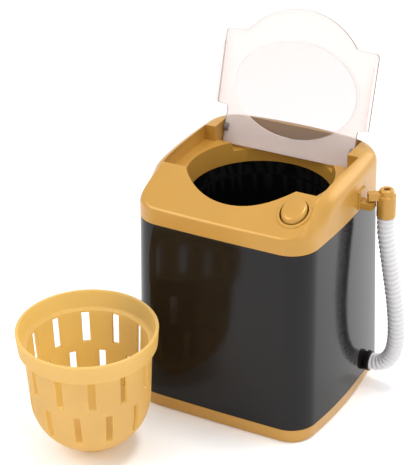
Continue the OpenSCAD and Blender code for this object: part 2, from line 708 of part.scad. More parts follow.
module drive_gear() {
    color([0.92, 0.91, 0.86]) difference() {
        union() {
            translate([0, 0, gear_z]) linear_extrude(gear_t)
                polygon(gear_outline(gear_teeth, gear_module, 0));
        }
        cyl(0, 0, gear_z - 1, gear_z + gear_t + 1, shaft_r + shaft_gap);
        for (k = [0:4]) rotate([0, 0, 72 * k + 36])
            cyl(6, 0, gear_z - 1, gear_z + gear_t + 1, 1.7);
    }
}
module motor_pinion() {
    color([0.92, 0.91, 0.86]) translate([0, motor_y, 0]) difference() {
        translate([0, 0, gear_z - 0.2]) linear_extrude(gear_t + 0.4)
            polygon(gear_outline(pinion_teeth, gear_module, -90 + 180 / pinion_teeth));
        cyl(0, 0, gear_z - 2, gear_z + gear_t + 2, motor_shaft_r + shaft_gap);
    }
}
motor_shaft_r = 1;
module motor_shaft() {
    color(steel) cyl(0, motor_y, motor_z1 - 6, gear_z + gear_t + 0.3, motor_shaft_r);
}
module motor_can() {
    color(steel) difference() {
        union() {
            intersection() {
                cyl(0, motor_y, motor_z0 + end_cap_h, motor_z1, motor_r);
                block(-motor_r, motor_r, motor_y - 0.76 * motor_r, motor_y + 0.76 * motor_r,
                      motor_z0, motor_z1 + 1);
            }
            cyl(0, motor_y, motor_z1 - eps, motor_z1 + 1, 3);
        }
        cyl(0, motor_y, motor_z1 - 7, motor_z1 + 2, motor_shaft_r + shaft_gap);
    }
}
module motor_end_cap() {
    color([0.93, 0.93, 0.90]) difference() {
        union() {
            intersection() {
                cyl(0, motor_y, motor_z0 + 1.5, motor_z0 + end_cap_h, motor_r - 0.6);
                block(-motor_r, motor_r, motor_y - 0.7 * motor_r, motor_y + 0.7 * motor_r,
                      motor_z0, motor_z1);
            }
            cyl(0, motor_y, motor_z0, motor_z0 + 2, 3.2);
        }
        for (s = [-1, 1])
            block(s > 0 ? motor_r - 1.6 : -motor_r - 1, s > 0 ? motor_r + 1 : 1.6 - motor_r,
                  motor_y - 1.4, motor_y + 1.4, motor_z0, motor_z0 + 2.6);
    }
}
module motor_bracket() {
    color([0.22, 0.22, 0.24]) difference() {
        union() {
            block(-bracket_screw_x - 2.8, bracket_screw_x + 2.8, motor_y - 8.4, motor_y + 8.4,
                  bracket_z, bracket_z + bracket_t);
            difference() {
                cyl(0, motor_y, bracket_z - 8, bracket_z + eps, motor_r + 1.5);
                cyl(0, motor_y, bracket_z - 9, bracket_z, motor_r + slip_gap / 2);
            }
        }
        cyl(0, motor_y, bracket_z - 1, bracket_z + bracket_t + 1, 3.1);
        for (s = [-1, 1])
            cyl(s * bracket_screw_x, motor_y, bracket_z - 1, bracket_z + bracket_t + 1, 1.1);
        // Room for the pulsator shaft's end
        cyl(0, 0, bracket_z - 9, bracket_z + bracket_t + 1, 2.2);
    }
}
module bracket_screws() {
    color(steel) for (s = [-1, 1])
        screw(s * bracket_screw_x, motor_y, bracket_z - 1.2, bracket_t + 3.2, 0.8, 1.9, 1.2);
}

// ---- Push button and its switch
cap_low_z = well_floor_z + button_travel + 0.2;
plunger_r = 1.5;
spring_wire_r = 0.3;
// The button's cap, with a slanted top that follows the panel
module cap_slice(narrower, lower) {
    difference() {
        cyl(button_x, -button_y, cap_low_z, rail_z + 10, button_r - narrower);
        above_slant(button_proud - lower);
    }
}
module push_button() {
    color(gold) hull() {
        cap_slice(0, 1.2);
        cap_slice(0.3, 0.45);
        cap_slice(0.9, 0);
    }
    color(gold) translate([button_x, -button_y, 0]) {
        cyl(0, 0, collar_top_z - eps, cap_low_z + eps, stem_r);
        cyl(0, 0, collar_top_z - collar_t, collar_top_z, collar_r);
        cyl(0, 0, switch_top_z + 3.1, collar_top_z - collar_t + eps, plunger_r);
    }
}
module button_spring() {
    color(steel) coil(button_x, -button_y, switch_top_z + 0.1, collar_top_z - collar_t - 0.1,
                      plunger_r + 1.1, spring_wire_r, 6);
}
module switch_body() {
    color([0.12, 0.12, 0.13]) in_button_frame() difference() {
        translate([button_reach - 4, -4, switch_top_z - switch_h])
            cube([8, 8, switch_h]);
        cyl(button_reach, 0, switch_top_z - 4, switch_top_z + 1, plunger_r + 0.08);
    }
}
module switch_plunger() {
    color([0.9, 0.9, 0.88]) cyl(button_x, -button_y, switch_top_z - 1.4, switch_top_z + 3, plunger_r);
}
module switch_board() {
    color([0.55, 0.42, 0.25]) in_button_frame() difference() {
        block(board_in, board_out, -board_hw, board_hw, board_z, board_z + board_t);
        for (p = board_post_at) cyl(p.x, p.y, board_z - 1, board_z + board_t + 1, 1);
    }
}
module board_screws() {
    color(steel) in_button_frame() for (p = board_post_at)
        screw(p.x, p.y, board_z - 1.2, board_t + 4, 0.7, 1.7, 1.2);
}

// ---- Batteries and contacts
module cell(y, dir) {
    translate([-dir * cell_back, y, cell_z]) rotate([0, dir * 90, 0]) {
        cylinder(h = cell_len, r = cell_d / 2);
        translate([0, 0, cell_len - eps]) cylinder(h = nipple_h, r = 2.7);
    }
}
module battery_front() {
    color([0.15, 0.30, 0.25]) cell(cell_front_y, 1);
}
module battery_rear() {
    color([0.15, 0.30, 0.25]) cell(cell_rear_y, -1);
}
module contact_plate(x, y0, y1, z1) {
    block(x, x + contact_t, y0, y1, cell_z - 5, z1);
}
module contact_bridge() {
    color(steel) contact_plate(-bay_hx, cell_front_y - 4.5, cell_rear_y + 4.5, cell_z + 5);
}
module contact_tabs() {
    color(steel) for (y = [cell_front_y, cell_rear_y]) {
        contact_plate(bay_hx - contact_t, y - 4.5, y + 4.5, cell_z + 5);
        block(bay_hx - contact_t, bay_hx, y - 2, y + 2, cell_z + 5 - eps, bay_top + bay_wall + 2.4);
    }
}
module contact_springs() {
    color(steel) {
        contact_coil(-bay_hx + contact_t, -cell_back, cell_front_y);
        contact_coil(cell_back, bay_hx - contact_t, cell_rear_y);
    }
}
module contact_coil(x0, x1, y) {
    translate([x0, y, cell_z]) rotate([0, 90, 0]) coil(0, 0, 0.02, x1 - x0 - 0.02, 3, 0.35, 3);
}
module battery_door() {
    color(gold) difference() {
        union() {
            block(-door_hx + door_gap, door_hx - door_gap, door_y0 + door_gap,
                  door_y1 - door_gap, door_inset, door_inset + door_t - 0.1);
            // Ribs that steady the cells
            for (x = [-bay_hx * 0.6, bay_hx * 0.6])
                block(x - 0.6, x + 0.6, bay_y0 + 1, bay_y1 - 1, door_inset + door_t - 0.2,
                      cell_z - cell_d / 2 - 0.2);
        }
        cyl(0, door_screw_y, -1, 5, 1.1);
        cyl(0, door_screw_y, -1, door_inset + 1, 2.2);
        // Finger grooves
        for (k = [0:5]) block(-6, 6, door_y0 + 3 + 1.6 * k, door_y0 + 3.8 + 1.6 * k,
                              -1, door_inset + 0.4);
    }
}
module door_screw() {
    color(steel) screw(0, door_screw_y, door_inset + 0.05, 4.2, 0.8, 2, 0.9);
}

// ---- Drain: inner tube, nozzle, ribbed hose and cap
nozzle_y = 18.6;
nozzle_face = foot_w / 2 - 0.75;
nozzle_neck_r = 3.9;
nut_r = 5.2;
nozzle_out = nozzle_face + 2.9;
tube_bore_r = spigot_r + 0.3;
tube_route = [[21.5, 12, 31.6], [21.5, 12, 26], [22.5, 12.5, 20], [27, 14.2, 15],
              [33, 17, 12.6], [37.5, 18.6, 12.2], [41.5, 18.6, 12.2]];
module drain_tube() {
    path = smooth_route(tube_route, 3);
    color([0.85, 0.85, 0.83])
        hollow_sweep(path, [for (p = path) tube_bore_r + 0.9], tube_bore_r, 12, [0.4, 1, 0.3]);
}
module along_x(x0, x1, r) {
    translate([x0, nozzle_y, nozzle_z]) rotate([0, 90, 0]) cylinder(h = x1 - x0, r = r);
}
module drain_nozzle() {
    color(black) difference() {
        union() {
            along_x(nozzle_face - 9, nozzle_face - 3.6, spigot_r);
            along_x(nozzle_face - 4, nozzle_face - 2.6, nut_r);
            along_x(nozzle_face - 4, nozzle_out, nozzle_neck_r);
            along_x(nozzle_face + 0.4, nozzle_out, nozzle_r);
            along_x(nozzle_out - eps, nozzle_out + 2, hose_bore_r - 0.5);
        }
        along_x(nozzle_face - 10, nozzle_out + 3, 1.4);
    }
}
// Bends of the hose: how far it stands off the shell's side, its y, and its share of the rise
hose_bends = [[2.3, 18.6, 0], [8.9, 18.4, 0.027], [13.15, 18.2, 0.102], [14.7, 18, 0.194],
              [15.1, 17.7, 0.286], [14.95, 17.4, 0.376], [14.4, 17.2, 0.465], [13.6, 17, 0.555],
              [12.7, 16.8, 0.644], [11.8, 16.6, 0.733], [10.95, 16.5, 0.821],
              [10.05, 16.5, 0.91], [10, 16.5, 1]];
hose_top_z = seam_z - 3.8;
hose_route = [for (b = hose_bends) [mix(foot_w, top_w, b.z) / 2 + b.x, b.y,
                                    mix(nozzle_z, hose_top_z, b.z)]];
module drain_hose() {
    // It leaves the nozzle straight along X
    path = smooth_route(hose_route, 6, [2 * hose_route[0].x - hose_route[1].x,
                                        hose_route[1].y, hose_route[1].z]);
    color([0.95, 0.95, 0.95])
        hollow_sweep(path, [for (i = [0:len(path) - 1]) hose_r - (i % 2 == 0 ? 0 : rib_depth)],
                     hose_bore_r, 12, [0, 1, 0]);
}
cap_x = top_w / 2 + 10;
cap_y = 16.5;
cap_z = hose_top_z + 0.3;
module hose_cap() {
    cap_top = cap_z + cap_len;
    // The arm points from the cap to the lug
    arm_dx = top_w / 2 + 3 - cap_x;
    arm_dy = lug_y - cap_y;
    color(gold) difference() {
        union() {
            translate([cap_x, cap_y, 0]) {
                rotate_extrude() polygon([[0, cap_z], [cap_r, cap_z], [cap_r, cap_top - 0.3],
                    [cap_r - 0.3, cap_top], [cap_r - 0.7, cap_top], [cap_r - 0.9, cap_top + 1.3],
                    [cap_r - 1.6, cap_top + 2.6], [cap_r - 2.1, cap_top + 3], [0, cap_top + 3]]);
                cyl(0, 0, cap_z - 3, cap_z + eps, hose_bore_r - 0.5);
            }
            translate([cap_x, cap_y, arm_z]) rotate([0, 0, atan2(arm_dy, arm_dx)])
                translate([0, -1.9, 0]) cube([norm([arm_dx, arm_dy]), 3.8, 3.4]);
        }
        translate([cap_x, cap_y, 0]) cyl(0, 0, cap_z - 4, cap_top + 4, 1.5);
    }
}

// ---- Leads between the batteries, the switch and the motor
lead_r = 0.6;
module lead(route, side) {
    path = smooth_route(route, 4);
    sweep(path, [for (p = path) lead_r], 8, side);
}
tab_z = bay_top + bay_wall + 1.4;
terminal_x = motor_r + 0.1;
terminal_z = motor_z0 + 1.9;
function lead_rise(t) = mix(tab_z, board_z, t);
lane_x = post_x + 1.5;
lane_y = 6.5 - post_y;
red_end = on_board(board_in + 4.3, 3.9);
yellow_end = on_board(board_in + 8.6, 2.4);
module lead_red() {
    color([0.7, 0.1, 0.1]) lead([[bay_hx + 0.7, cell_front_y, tab_z],
        [bay_hx + 5, cell_front_y, lead_rise(0.12)], [lane_x, lane_y, lead_rise(0.4)],
        [lane_x, lane_y + 1, lead_rise(0.66)], [lane_x - 1, lane_y + 1.2, lead_rise(0.87)],
        [red_end.x, red_end.y, board_z - 0.2]], [1, 1, 0]);
}
module lead_yellow() {
    color([0.8, 0.65, 0.1]) lead([[yellow_end.x, yellow_end.y, board_z - 0.2],
        [lane_x + 0.5, lane_y + 3.5, lead_rise(0.85)],
        [front_post_x - post_r - 1.5, 1 - front_post_y, lead_rise(0.6)],
        [lane_x - 1, -3, lead_rise(0.28)],
        [bay_hx + 3.8, 2, lead_rise(0.02)], [terminal_x + 11, 6, terminal_z + 4.5],
        [terminal_x + 4, 10, terminal_z + 0.5], [terminal_x, motor_y, terminal_z]], [1, 1, 0.2]);
}
module lead_black() {
    color([0.12, 0.12, 0.12]) lead([[bay_hx + 0.7, cell_rear_y, tab_z],
        [bay_hx + 1, -6, tab_z + 4], [bay_hx - 5, -0.5, tab_z + 4], [10, 0.5, tab_z + 1],
        [-4, 0.6, tab_z - 2], [-terminal_x - 3, 3, terminal_z + 9.6],
        [-terminal_x - 4.4, 9, terminal_z + 2.6], [-terminal_x, motor_y, terminal_z]],
        [0.2, 0.3, 1]);
}

// ---- Basket
slot_turn = 4.5;
// Compass angle that the basket leans towards
lean_turn = -58;
upper_slot_top = basket_h - collar_h + 0.9;
upper_slot_h = 15.7;
lower_slot_top = upper_slot_top - upper_slot_h - 4.3;
lower_slot_h = 15.5;
bowl_foot_r = basket_low_r - bowl_r;
function bowl(r, z0, a0, a1, n) =
    [for (i = [0:n]) let (a = a0 + (a1 - a0) * i / n)
        [max(0, bowl_foot_r + r * cos(a)), z0 + r * sin(a)]];
module slot_ring(z_top, h, turn) {
    for (k = [0:slot_count - 1]) rotate([0, 0, 360 * k / slot_count + turn])
        translate([basket_low_r - 12, -slot_w / 2, z_top - h]) cube([24, slot_w, h]);
}
bowl_z = foot_ring_h + bowl_r;
module basket() {
    color([0.86, 0.69, 0.42])
    translate([basket_x, basket_y, foot_ring_r * sin(basket_lean)])
        rotate(a = basket_lean, v = [-sin(lean_turn), cos(lean_turn), 0]) difference() {
        union() {
            rotate_extrude() polygon(concat(
                bowl(bowl_r, bowl_z, 270, 360, 14),
                [[basket_r, basket_h - collar_h], [rim_r - 0.9, basket_h - collar_h + 1],
                 [rim_r - 0.2, basket_h - 0.8], [rim_r - 0.6, basket_h],
                 [rim_r - basket_wall + 0.2, basket_h],
                 [rim_r - basket_wall - 0.9, basket_h - collar_h + 2.2],
                 [basket_r - basket_wall, basket_h - collar_h + 1.6]],
                bowl(bowl_r - basket_wall, bowl_z, 360, 270, 14),
                [[0, foot_ring_h + basket_wall]], [[0, foot_ring_h]]));
            // Small ring that the basket stands on
            rotate_extrude() polygon([[foot_ring_r - 1.2, 0], [foot_ring_r, 0],
                [foot_ring_r, foot_ring_h + 1.4], [foot_ring_r - 1.2, foot_ring_h + 1.4]]);
        }
        slot_ring(upper_slot_top, upper_slot_h, slot_turn);
        slot_ring(lower_slot_top, lower_slot_h, slot_turn + 180 / slot_count);
    }
}

base();
outer_shell();
top_cover();
lid();
tub();
tub_screws();
base_screws();
pulsator();
pulsator_shaft();
shaft_bush();
shaft_seal();
drive_gear();
motor_bracket();
bracket_screws();
motor_can();
motor_end_cap();
motor_shaft();
motor_pinion();
push_button();
button_spring();
switch_body();
switch_plunger();
switch_board();
board_screws();
battery_front();
battery_rear();
contact_bridge();
contact_tabs();
contact_springs();
battery_door();
door_screw();
drain_tube();
drain_nozzle();
drain_hose();
hose_cap();
lead_red();
lead_yellow();
lead_black();
basket();
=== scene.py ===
"""Toy washing machine: finishes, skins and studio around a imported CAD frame.

Each operator below makes one piece, or one group of like pieces, from the sizes in its
property group. Sizes are in metres, in the frame's own axes: +Z up, -Y towards the front.
"""

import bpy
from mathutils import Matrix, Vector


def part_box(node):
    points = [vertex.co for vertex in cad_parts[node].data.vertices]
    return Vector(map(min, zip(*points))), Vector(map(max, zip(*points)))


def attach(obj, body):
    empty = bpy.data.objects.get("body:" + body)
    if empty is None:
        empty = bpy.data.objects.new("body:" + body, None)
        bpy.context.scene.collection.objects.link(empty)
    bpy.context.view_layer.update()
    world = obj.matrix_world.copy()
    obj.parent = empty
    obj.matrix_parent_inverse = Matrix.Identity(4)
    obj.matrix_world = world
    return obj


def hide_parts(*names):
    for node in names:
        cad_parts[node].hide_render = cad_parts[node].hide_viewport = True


bl_info = {
    "name": "Toy Washing Machine",
    "version": (1, 0, 0),
    "blender": (4, 5, 0),
    "location": "View3D > Sidebar > Toy Washer",
    "description": "Models the skins of a toy washing machine and sets its studio",
    "category": "Object",
}

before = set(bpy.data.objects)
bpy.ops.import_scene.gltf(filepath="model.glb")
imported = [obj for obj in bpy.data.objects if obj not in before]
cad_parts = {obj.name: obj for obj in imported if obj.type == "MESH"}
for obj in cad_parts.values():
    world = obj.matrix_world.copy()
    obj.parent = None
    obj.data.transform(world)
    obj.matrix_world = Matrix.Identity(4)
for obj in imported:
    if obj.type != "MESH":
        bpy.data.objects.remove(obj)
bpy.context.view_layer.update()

import math

import bmesh
import bpy
from bpy.props import (
    FloatProperty,
    FloatVectorProperty,
    IntProperty,
    PointerProperty,
)
from mathutils import Matrix, Vector

MM = 0.001
VIEW_SIZE = (407, 465)

# Heights of the frame that every skin shares
BASE_TOP = 7.4 * MM
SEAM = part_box("outer_shell")[1].z
RECESS_Z = SEAM + 13.3 * MM
HINGE = Vector((0, 29 * MM, RECESS_Z + 4.1 * MM))
TUB_TOP = RECESS_Z - 10.2 * MM
BUTTON = Vector((31.6 * MM, -30.5 * MM, 0))
NOZZLE = Vector((0, 18.6 * MM, 12.2 * MM))
CAP_AXIS = Vector((55 * MM, 16.5 * MM, 0))


# ---------------------------------------------------------------------------
# Sizes and colours
# ---------------------------------------------------------------------------
def length(name, description, default):
    return FloatProperty(
        name=name,
        description=description,
        default=default * MM,
        min=0.0,
        unit="LENGTH",
        precision=5,
    )


def colour(name, description, default):
    return FloatVectorProperty(
        name=name,
        description=description,
        default=default,
        subtype="COLOR",
        size=3,
        min=0.0,
        max=1.0,
    )


class BodySizes(bpy.types.PropertyGroup):
    """Sizes of the housing, the base band and the top cover."""

    top_half_w: length("Top half width", "Half width of the shell at its top", 45.0)
    top_half_d: length("Top half depth", "Half depth of the shell at its top", 43.7)
    foot_half_w: length("Foot half width", "Half width of the shell's foot", 47.5)
    foot_half_d: length("Foot half depth", "Half depth of the shell's foot", 46.0)
    corner: length("Corner radius", "Radius of the upright corners", 13.0)
    wall: length("Wall", "Wall of the shell and the cover", 1.8)
    crease_rise: length("Crease rise", "Height of the front crease above the seam", 7.6)
    rail_rise: length("Rail rise", "Height of the side rails above the seam", 20.9)
    bend: length("Panel bend", "Softness of the bend between panel and rails", 4.0)
    mouth: length("Mouth radius", "Radius of the mouth through the panel", 33.9)


class LidSizes(bpy.types.PropertyGroup):
    """Sizes of the clear lid, which is drawn open."""

    half_w: length("Half width", "Half width over the side flanges", 38.6)
    reach: length("Reach", "From the hinge axis to the straight front edge", 46.4)
    tail: length("Tail", "From the hinge axis to the rear edge", 7.5)
    thick: length("Thickness", "Thickness of the plate", 1.2)
    open_angle: FloatProperty(
        name="Open angle",
        description="Angle from level to fully open",
        default=math.radians(107.0),
        subtype="ANGLE",
    )


class BasketSizes(bpy.types.PropertyGroup):
    """Sizes of the loose slotted basket."""

    rim: length("Rim radius", "Outer radius of the rim", 31.6)
    height: length("Height", "Height of the basket", 62.4)
    collar: length("Collar", "Height of the collar", 10.4)
    neck: length("Neck radius", "Outer radius just below the collar", 28.4)
    belly: length("Belly radius", "Outer radius where the bowl starts", 27.1)
    bowl: length("Bowl radius", "Radius of the round bottom", 25.5)
    wall: length("Wall", "Wall of the basket", 1.5)
    slots: IntProperty(name="Slots", description="Slots in a row", default=12, min=3)


class HoseSizes(bpy.types.PropertyGroup):
    """Sizes of the ribbed drain hose."""

    crest: length("Crest radius", "Outer radius over the ribs", 4.15)
    groove: length("Groove depth", "Depth of a groove between two ribs", 0.75)
    pitch: length("Rib pitch", "Distance from rib to rib", 2.4)
    bore: length("Bore radius", "Inner radius", 3.0)


class Finishes(bpy.types.PropertyGroup):
    """Colours of the materials."""

    gold: colour("Gold", "Cover, base, button and cap", (0.45, 0.235, 0.040))
    basket: colour("Basket gold", "Loose basket", (0.85, 0.66, 0.29))
    black: colour("Black", "Glossy housing", (0.005, 0.004, 0.004))
    tub: colour("Tub black", "Wash tub and pulsator", (0.0015, 0.0015, 0.0015))
    clear: colour("Clear", "Window of the lid", (0.79, 0.77, 0.765))
    frost: colour("Frost", "Hazy rim of the lid", (0.57, 0.535, 0.53))
    # Edge is painted shade: a dark colour for the clear lid's cut edges, one side of its oval
    # step, and its hinge knuckles and pins
    edge: colour("Edge", "Cut edges of the lid", (0.16, 0.13, 0.12))
    white: colour("White", "Drain hose", (0.62, 0.61, 0.62))


GROUPS = (BodySizes, LidSizes, BasketSizes, HoseSizes, Finishes)


# ---------------------------------------------------------------------------
# Outlines
# ---------------------------------------------------------------------------
def mix(a, b, t):
    return a + (b - a) * t


def arc(cx, cy, r, a0, a1, n):
    """n points from a0 up to, and without, a1, in radians."""
    steps = [a0 + (a1 - a0) * i / n for i in range(n)]
    return [(cx + r * math.cos(a), cy + r * math.sin(a)) for a in steps]


def bow_radius(chord, bow):
    return (chord * chord / 4 + bow * bow) / (2 * bow)


def body_outline(hx, hf, hb, r, bow_side, bow_front, bow_back, n=24):
    """Four bowed sides joined by round corners, anticlockwise from the right side."""
    cx, cf, cb = hx - r - bow_side, hf - r - bow_front, hb - r - bow_back
    rs, rf, rb = (
        bow_radius(cf + cb, bow_side),
        bow_radius(2 * cx, bow_front),
        bow_radius(2 * cx, bow_back),
    )
    mid = (cb - cf) / 2
    a_s = math.asin((cf + cb) / 2 / rs)
    a_f, a_b = math.asin(cx / rf), math.asin(cx / rb)
    half, full = math.pi / 2, math.pi
    return (
        arc(hx - r - rs, mid, rs + r, -a_s, a_s, n)
        + arc(cx, cb, r, a_s, half - a_b, n)
        + arc(0, hb - r - rb, rb + r, half - a_b, half + a_b, n)
        + arc(-cx, cb, r, half + a_b, full - a_s, n)
        + arc(rs + r - hx, mid, rs + r, full - a_s, full + a_s, n)
        + arc(-cx, -cf, r, full + a_s, 3 * half - a_f, n)
        + arc(0, rf + r - hf, rf + r, 3 * half - a_f, 3 * half + a_f, n)
        + arc(cx, -cf, r, 3 * half + a_f, 2 * full - a_s, n)
    )


def shell_ring(s, z, inset=0.0):
    """The body's outline at a height, as points in space."""
    t = (z - BASE_TOP) / (SEAM - BASE_TOP)
    hx = mix(s.foot_half_w, s.top_half_w, t) - inset
    hy = mix(s.foot_half_d, s.top_half_d, t) - inset
    points = body_outline(
        hx,
        hy,
        hy,
        s.corner - inset,
        mix(2.4, 1.3, t) * MM,
        0.3 * MM,
        2.1 * MM,
    )
    return [(x, y, z) for x, y in points]


def deck(s, y):
    """Height of the cover: a sloping front panel that bends into level rails."""
    foot = s.crease_rise + s.bend**2 / 4 / (s.rail_rise - s.crease_rise)
    a = foot + 0.56 * (y + s.top_half_d)
    d = a - s.rail_rise
    return SEAM + (a + s.rail_rise - math.sqrt(d * d + s.bend**2)) / 2


# ---------------------------------------------------------------------------
# Mesh helpers
# ---------------------------------------------------------------------------
def place(verts, points):
    for v, p in zip(verts, points):
        v.co = p


def loop_edges(bm, loop):
    """Edges round a closed loop of vertices."""
    return [bm.edges.get((a, b)) for a, b in zip(loop, loop[1:] + loop[:1])]


def join_ends(bm, first, last):
    """Closes a lofted tube by bridging its two end loops."""
    bmesh.ops.bridge_loops(bm, edges=loop_edges(bm, first) + loop_edges(bm, last))
    bmesh.ops.recalc_face_normals(bm, faces=bm.faces)


def loft(bm, rings, caps=(True, True)):
    """Skins closed rings of points, each with as many points as the first."""
    made = bmesh.ops.create_circle(bm, segments=len(rings[0]), radius=1.0)
    verts = list(made["verts"])
    place(verts, rings[0])
    first = verts
    edges = loop_edges(bm, verts)
    start_edges = edges
    for ring in rings[1:]:
        out = bmesh.ops.extrude_edge_only(bm, edges=edges)
        fresh = {g for g in out["geom"] if isinstance(g, bmesh.types.BMVert)}
        verts = [
            next(e.other_vert(v) for e in v.link_edges if e.other_vert(v) in fresh)
            for v in verts
        ]
        place(verts, ring)
        edges = loop_edges(bm, verts)
    if caps[0]:
        bmesh.ops.contextual_create(bm, geom=start_edges)
    if caps[1]:
        bmesh.ops.contextual_create(bm, geom=edges)
    bmesh.ops.recalc_face_normals(bm, faces=bm.faces)
    return first, verts


def revolve(bm, profile, steps=96, centre=(0, 0, 0)):
    """Spins (radius, height) points about an upright axis, and closes the poles."""
    cx, cy, cz = centre
    verts = [bm.verts.new((cx + r, cy, cz + z)) for r, z in profile]
    edges = [bm.edges.new(pair) for pair in zip(verts, verts[1:])]
    bmesh.ops.spin(
        bm,
        geom=verts + edges,
        cent=centre,
        axis=(0, 0, 1),
        angle=math.tau,
        steps=steps,
        use_merge=True,
    )
    bmesh.ops.remove_doubles(bm, verts=bm.verts, dist=1e-6)
    bmesh.ops.recalc_face_normals(bm, faces=bm.faces)


def round_corner(centre, r, a0, a1, n=6):
    """Points of a small round edge in a profile, angles in degrees, both ends in."""
    return [
        (
            centre[0] + r * math.cos(math.radians(mix(a0, a1, i / n))),
            centre[1] + r * math.sin(math.radians(mix(a0, a1, i / n))),
        )
        for i in range(n + 1)
    ]


def box_mesh(bm, lo, hi):
    out = bmesh.ops.create_cube(bm, size=1.0)
    lo, hi = Vector(lo), Vector(hi)
    bmesh.ops.scale(bm, vec=hi - lo, verts=out["verts"])
    bmesh.ops.translate(bm, vec=(lo + hi) / 2, verts=out["verts"])
    return out["verts"]


def rod_mesh(bm, a, b, radius, segments=48, radius_b=None):
    """A straight closed cylinder or cone from a to b."""
    a, b = Vector(a), Vector(b)
    turn = (b - a).to_track_quat("Z", "Y").to_matrix().to_4x4()
    out = bmesh.ops.create_cone(
        bm,
        cap_ends=True,
        segments=segments,
        radius1=radius,
        radius2=radius if radius_b is None else radius_b,
        depth=(b - a).length,
        matrix=Matrix.Translation((a + b) / 2) @ turn,
    )
    return out["verts"]


def prism_mesh(bm, points, z0, z1):
    """An upright prism over a closed outline of (x, y) points."""
    verts = [bm.verts.new((x, y, z0)) for x, y in points]
    face = bm.faces.new(verts)
    out = bmesh.ops.extrude_face_region(bm, geom=[face])
    top = [g for g in out["geom"] if isinstance(g, bmesh.types.BMVert)]
    bmesh.ops.translate(bm, vec=(0, 0, z1 - z0), verts=top)
    bmesh.ops.recalc_face_normals(bm, faces=bm.faces)
    return verts + top


def new_object(name, bm):
    mesh = bpy.data.meshes.new(name)
    bm.to_mesh(mesh)
    bm.free()
    obj = bpy.data.objects.new(name, mesh)
    bpy.context.scene.collection.objects.link(obj)
    return obj


def build(name, fill):
    """Makes an object from a function that fills a bmesh."""
    bm = bmesh.new()
    fill(bm)
    return new_object(name, bm)


def apply_modifiers(obj):
    graph = bpy.context.evaluated_depsgraph_get()
    mesh = bpy.data.meshes.new_from_object(obj.evaluated_get(graph))
    obj.modifiers.clear()
    old = obj.data
    obj.data = mesh
    bpy.data.meshes.remove(old)


def carve(obj, *cutters, operation="DIFFERENCE"):
    """Cuts, joins or trims obj with each closed cutter, and removes the cutters."""
    for cutter in cutters:
        mod = obj.modifiers.new("carve", "BOOLEAN")
        mod.operation = operation
        mod.solver = "EXACT"
        mod.object = cutter
        apply_modifiers(obj)
        tidy_mesh(obj)
        mesh = cutter.data
        bpy.data.objects.remove(cutter)
        bpy.data.meshes.remove(mesh)
    return obj


def tidy_mesh(obj, dist=2e-6):
    bm = bmesh.new()
    bm.from_mesh(obj.data)
    bmesh.ops.remove_doubles(bm, verts=bm.verts, dist=dist)
    bmesh.ops.dissolve_degenerate(bm, edges=bm.edges, dist=dist)
    bm.to_mesh(obj.data)
    bm.free()


def soften(obj, width, angle=32.0, segments=3):
    """Rounds the sharp edges and leaves the flat faces looking flat."""
    mod = obj.modifiers.new("edge", "BEVEL")
    mod.width = width
    mod.segments = segments
    mod.limit_method = "ANGLE"
    mod.angle_limit = math.radians(angle)
    mod.use_clamp_overlap = True
    mod.miter_outer = "MITER_ARC"
    apply_modifiers(obj)
    smooth(obj, 60.0)
    mod = obj.modifiers.new("flat faces", "WEIGHTED_NORMAL")
    mod.keep_sharp = True
    mod.weight = 90
    apply_modifiers(obj)


def smooth(obj, angle=35.0):
    obj.data.shade_smooth()
    obj.data.set_sharp_from_angle(angle=math.radians(angle))


def finish_piece(obj, material, body, slot, *nodes):
    """Gives a piece its material and its body, and hides the nodes that it stands for. The slot is
    not used.
    """
    obj.data.materials.clear()
    obj.data.materials.append(material)
    for polygon in obj.data.polygons:
        polygon.material_index = 0
    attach(obj, body)
    if nodes:
        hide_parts(*nodes)
    return obj


# ---------------------------------------------------------------------------
# Materials
# ---------------------------------------------------------------------------
def set_input(node, name, value):
    if name in node.inputs:
        node.inputs[name].default_value = value


